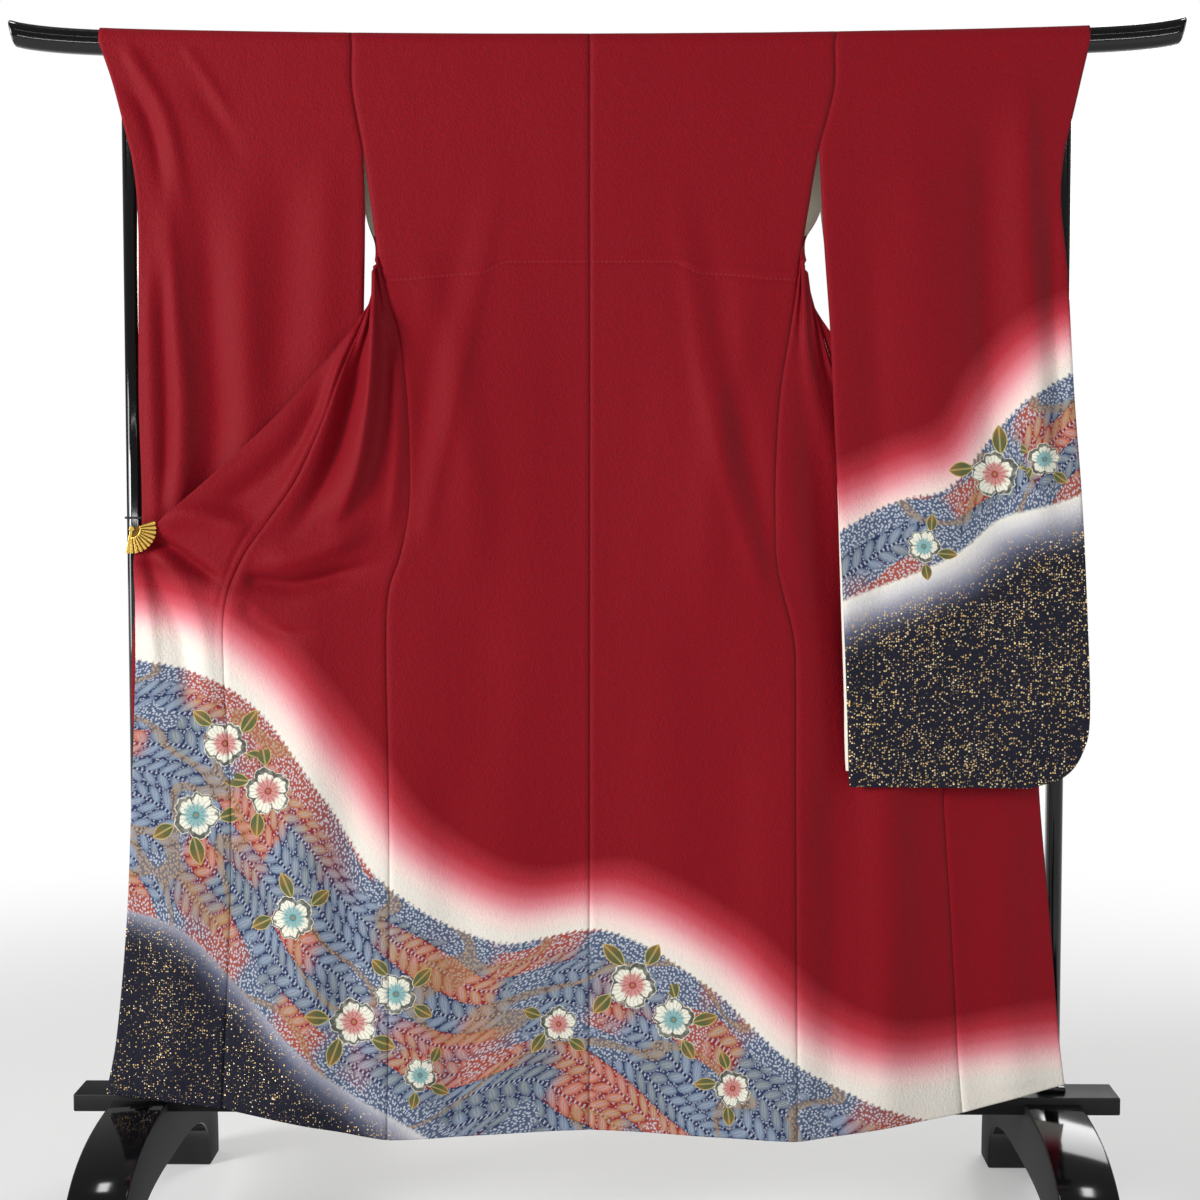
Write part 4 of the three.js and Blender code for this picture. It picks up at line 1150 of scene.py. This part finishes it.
def makeBar():
    form = bmesh.new()
    bmesh.ops.create_cone(form, cap_ends=True, segments=72, radius1=1, radius2=1, depth=1)
    bmesh.ops.rotate(form, cent=(0, 0, 0), matrix=Matrix.Rotation(math.radians(90), 3, "Y"), verts=form.verts)
    length = stand["barLength"]
    for k in range(1, 110):
        at = k / 110 - 0.5
        geometry = form.verts[:] + form.edges[:] + form.faces[:]
        bmesh.ops.bisect_plane(form, geom=geometry, plane_co=(at, 0, 0), plane_no=(1, 0, 0))
    for vert in form.verts:
        x = vert.co.x * length
        angle = math.degrees(math.atan2(vert.co.z, -vert.co.y))
        y, z = roundedSection(stand["barDepth"] / 2, stand["barHeight"] / 2, stand["barPower"], angle)
        atEnd = smooth(abs(x), length / 2 - stand["barSlantReach"], length / 2)
        slant = stand["barEndSlant"] * atEnd * (0.5 - z / stand["barHeight"])
        x -= math.copysign(slant, x)
        vert.co = Vector((x, y, stand["barCentreZ"] + barRise(x) + z)) * mm
    rims = [e for e in form.edges if any(len(f.verts) > 4 for f in e.link_faces)]
    rounded(form, rims, stand["barRimRadius"], 3)
    for face in form.faces:
        face.smooth = len(face.verts) == 4
    finished("lacquer_bar", form, [lacquer], "bar")


def makeFoot(side, sign):
    # A flat arch face between the outer curve and the hollow, then its width.
    form = bmesh.new()
    steps = 64
    bmesh.ops.create_grid(form, x_segments=steps, y_segments=1, size=1)
    power = stand["footPower"]
    for vert in form.verts:
        angle = math.pi * (1 - (vert.co.x + 1) / 2)
        outer = vert.co.y > 0
        reach = stand["footHalfLength" if outer else "footHollowHalfLength"]
        height = stand["footCrownZ" if outer else "footHollowZ"]
        y = reach * math.copysign(abs(math.cos(angle)) ** stand["footEndPower"], math.cos(angle))
        z = height * max(1 - (abs(y) / reach) ** power, 0) ** (1 / power)
        vert.co = Vector(((sign * stand["footX"] - stand["footWidth"] / 2), y, z)) * mm
    wall = bmesh.ops.extrude_face_region(form, geom=form.faces[:])
    moved = [g for g in wall["geom"] if isinstance(g, bmesh.types.BMVert)]
    bmesh.ops.translate(form, vec=(stand["footWidth"] * mm, 0, 0), verts=moved)
    bmesh.ops.recalc_face_normals(form, faces=form.faces)
    form.normal_update()
    for face in form.faces:
        face.material_index = 1 if abs(face.normal.x) > 0.9 else 0
    rims = [e for e in form.edges if len(e.link_faces) == 2 and e.calc_face_angle() > 0.9]
    rounded(form, rims, stand["footRimRadius"], 3)
    for face in form.faces:
        face.smooth = True
    finished("lacquer_foot_" + side, form, [lacquer, footSide], "foot_" + side)


def makePost(side, sign):
    # A low ferrule on the beam, and the post standing on it.
    x, gap = sign * stand["postX"], stand["gap"]
    ferruleZ, height = stand["beamTopZ"] + gap, stand["ferruleHeight"]
    size = (stand["ferruleWidth"], stand["ferruleDepth"], height)
    ferrule = block(size, (x, 0, ferruleZ + height / 2), stand["ferruleRadius"], 3)
    finished("lacquer_ferrule_" + side, ferrule, [lacquer], "ferrule_" + side)
    postZ = ferruleZ + height + gap
    tall = stand["postTopZ"] - postZ
    size = (stand["postWidth"], stand["postDepth"], tall)
    post = block(size, (x, 0, postZ + tall / 2), stand["postRadius"], 10, upright)
    finished("lacquer_post_" + side, post, [lacquer], "post_" + side)


def makeBeam():
    beamZ = (stand["beamBottomZ"] + stand["beamTopZ"]) / 2
    size = (stand["beamLength"], stand["beamDepth"], stand["beamTopZ"] - stand["beamBottomZ"])
    beam = block(size, (0, 0, beamZ), stand["beamRadius"], 3)
    finished("satin_beam", beam, [satinBlack], "base_beam")


makeBar()
makeBeam()
for side, sign in (("left", -1), ("right", 1)):
    makePost(side, sign)
    makeFoot(side, sign)
print("stand made")

fanClip = {
    "hub": (-612, -37.2, 952), "hubRadius": 3.4, "hubDepth": 3.6, "ringRadius": 12, "radius": 32.5,
    "ribs": 10, "ringBeads": 24, "from": -96, "to": 20, "guardWidth": 5.5,
    "jawWidth": 13, "jawDepth": 10.3, "jawHeight": 9, "jawCentre": (-608, -29.15, 937), "jawRadius": 2.2,
    "bandHeight": 3, "bandZ": 966, "bandOver": 2.4,
}


def makeFan():
    form = bmesh.new()
    step = (fanClip["to"] - fanClip["from"]) / fanClip["ribs"]

    def spoke(angle, near, far, nearWidth, farWidth, thick, forward, tilt=0.0):
        made = bmesh.ops.create_cube(form, size=1)["verts"]
        for vert in made:
            outer = vert.co.x > 0
            width = farWidth if outer else nearWidth
            lift = tilt if vert.co.z > 0 else -tilt
            vert.co = Vector((far if outer else near, vert.co.y * thick - forward + lift, vert.co.z * width))
        turn = Matrix.Rotation(-math.radians(angle), 3, "Y")
        bmesh.ops.rotate(form, cent=(0, 0, 0), matrix=turn, verts=made)

    wide = math.radians(step)
    for k in range(fanClip["ribs"]):
        angle = fanClip["from"] + step * (k + 0.5)
        ring, far = fanClip["ringRadius"], fanClip["radius"]
        spoke(angle, ring, far, ring * wide * 0.5, far * wide * 0.6, 1.8, 0.5)
    spoke(fanClip["from"] - 4, 3, fanClip["radius"] + 0.5, 3.5, fanClip["guardWidth"], 2.4, 0.4)
    beads = fanClip["ringBeads"]
    for k in range(beads):  # the bright ring where the leaf begins
        angle = fanClip["from"] + (fanClip["to"] - fanClip["from"]) * (k + 0.5) / beads
        spoke(angle, fanClip["ringRadius"] - 0.8, fanClip["ringRadius"] + 0.8, 1.2, 1.2, 2.2, 0.7)
    ribFaces = len(form.faces)
    for k in range(fanClip["ribs"] * 2):  # the leaf folds between the ribs
        far = fanClip["radius"] - 1.2
        angle, fold = fanClip["from"] + step * (k + 0.5) / 2, 0.3 if k % 2 == 0 else -0.3
        spoke(angle, 2, far, 0.8, far * wide / 2, 0.8, -0.3, fold)
    # The leaf folds take the darker gilt, which is painted shade between the bright ribs.
    for face in form.faces[ribFaces:]:
        face.material_index = 1
    pivot = Matrix.Rotation(math.radians(90), 4, "X")
    radius = fanClip["hubRadius"]
    bmesh.ops.create_cone(
        form, cap_ends=True, segments=24, radius1=radius, radius2=radius, depth=fanClip["hubDepth"],
        matrix=pivot,
    )
    bmesh.ops.bevel(
        form, geom=form.edges[:], offset=0.3, segments=2, profile=0.5, affect="EDGES", material=-1,
        clamp_overlap=True,
    )
    bmesh.ops.translate(form, vec=Vector(fanClip["hub"]), verts=form.verts)
    bmesh.ops.scale(form, vec=(mm, mm, mm), verts=form.verts)
    return form


finished("gilt_fan", makeFan(), [gilt, giltLeafPaintedShade], "clip_fan")
jawSize = (fanClip["jawWidth"], fanClip["jawDepth"], fanClip["jawHeight"])
jaw = block(jawSize, fanClip["jawCentre"], fanClip["jawRadius"], 4)
finished("gilt_jaw", jaw, [gilt], "clip_jaw")
bandOver = fanClip["bandOver"]
bandSize = (stand["postWidth"] + bandOver, stand["postDepth"] + bandOver, fanClip["bandHeight"])
band = block(bandSize, (-stand["postX"], 0, fanClip["bandZ"]), 1, 2)
finished("elastic_band", band, [elastic], "clip_band")
print("clip made")

for piece in pieces.values():
    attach(piece, "root")

floorMesh = bpy.data.meshes.new("floor")
floorForm = bmesh.new()
bmesh.ops.create_circle(floorForm, cap_ends=True, segments=96, radius=14)
floorForm.to_mesh(floorMesh)
floorForm.free()
floor = bpy.data.objects.new("floor", floorMesh)
bpy.context.scene.collection.objects.link(floor)
g = Graph("pale floor")
spot = g.add("ShaderNodeTexCoord").outputs["Object"]
away = Tone(g, g.add("ShaderNodeVectorMath", {"operation": "LENGTH"}, {0: spot}).outputs["Value"])
far = away.step(1.2, 3.0) * 0.7 + 0.3
pale = g.add("ShaderNodeBsdfPrincipled", None, {"Base Color": (0.86, 0.86, 0.86, 1), "Roughness": 0.7})
glow = g.add("ShaderNodeEmission", None, {"Color": (1, 1, 1, 1), "Strength": 1.0})
mixed = g.add("ShaderNodeMixShader", None, {0: far, 1: pale.outputs[0], 2: glow.outputs[0]})
g.add("ShaderNodeOutputMaterial", None, {0: mixed.outputs[0]})
floorMesh.materials.append(g.material)

world = bpy.data.worlds.new("studio")
bpy.context.scene.world = world
world.use_nodes = True
sky = world.node_tree
seen, lit = sky.nodes["Background"], sky.nodes.new("ShaderNodeBackground")
seen.inputs[0].default_value = lit.inputs[0].default_value = (1, 1, 1, 1)
seen.inputs[1].default_value, lit.inputs[1].default_value = 1.0, 0.24
chosen = sky.nodes.new("ShaderNodeMixShader")
sky.links.new(sky.nodes.new("ShaderNodeLightPath").outputs["Is Camera Ray"], chosen.inputs[0])
sky.links.new(lit.outputs[0], chosen.inputs[1])
sky.links.new(seen.outputs[0], chosen.inputs[2])
sky.links.new(chosen.outputs[0], sky.nodes["World Output"].inputs[0])


def softLight(name, place, target, size, power, height=None, without=()):
    data = bpy.data.lights.new(name, "AREA")
    data.shape, data.size, data.size_y, data.energy = "RECTANGLE", size, height or size, power
    lamp = bpy.data.objects.new(name, data)
    lamp.location = place
    lamp.rotation_euler = (Vector(target) - Vector(place)).to_track_quat("-Z", "Y").to_euler()
    for kind in without:
        setattr(lamp, "visible_" + kind, False)
    bpy.context.scene.collection.objects.link(lamp)


# Place, target, width, watts, height and the rays that don't see it, in metres.
softLight("key", (-4.4, -3.2, 2.3), (0, 0, 0.9), 1.5, 260)
softLight("fill", (1.8, -3.6, 1.4), (0, 0, 0.8), 2.0, 18, None, ("glossy",))
softLight("stripLeft", (-3.0, -1.0, 1.1), (-0.6, 0, 1.0), 1.0, 130, 3.2, ("diffuse",))
softLight("stripRight", (3.0, -1.0, 1.1), (0.6, 0, 1.0), 0.8, 80, 3.2, ("diffuse",))
softLight("back", (1.6, 3.0, 2.4), (0, 0, 0.9), 1.6, 45)
softLight("barLine", (0, -3.5, 1.66), (0, 0, 1.6), 4.2, 30, 0.1, ("diffuse",))
softLight("barFineLine", (0, -3.3, 3.3), (0, 0, 1.6), 4.2, 8, 0.05, ("diffuse",))
for side in (-1, 1):
    softLight("ceiling", (1.29 * side, 0.24, 3.6), (1.29 * side, 0.24, 0), 0.3, 9, 0.6)

camera = bpy.data.objects.new("camera", bpy.data.cameras.new("camera"))
bpy.context.scene.collection.objects.link(camera)
camera.location = (0.0484, -3.0, 1.05)
camera.rotation_euler = (math.radians(86.3), 0, math.radians(0.81))
camera.data.sensor_width = 36
camera.data.lens = 67.5
bpy.context.scene.camera = camera
bpy.context.scene.view_settings.view_transform = "Standard"
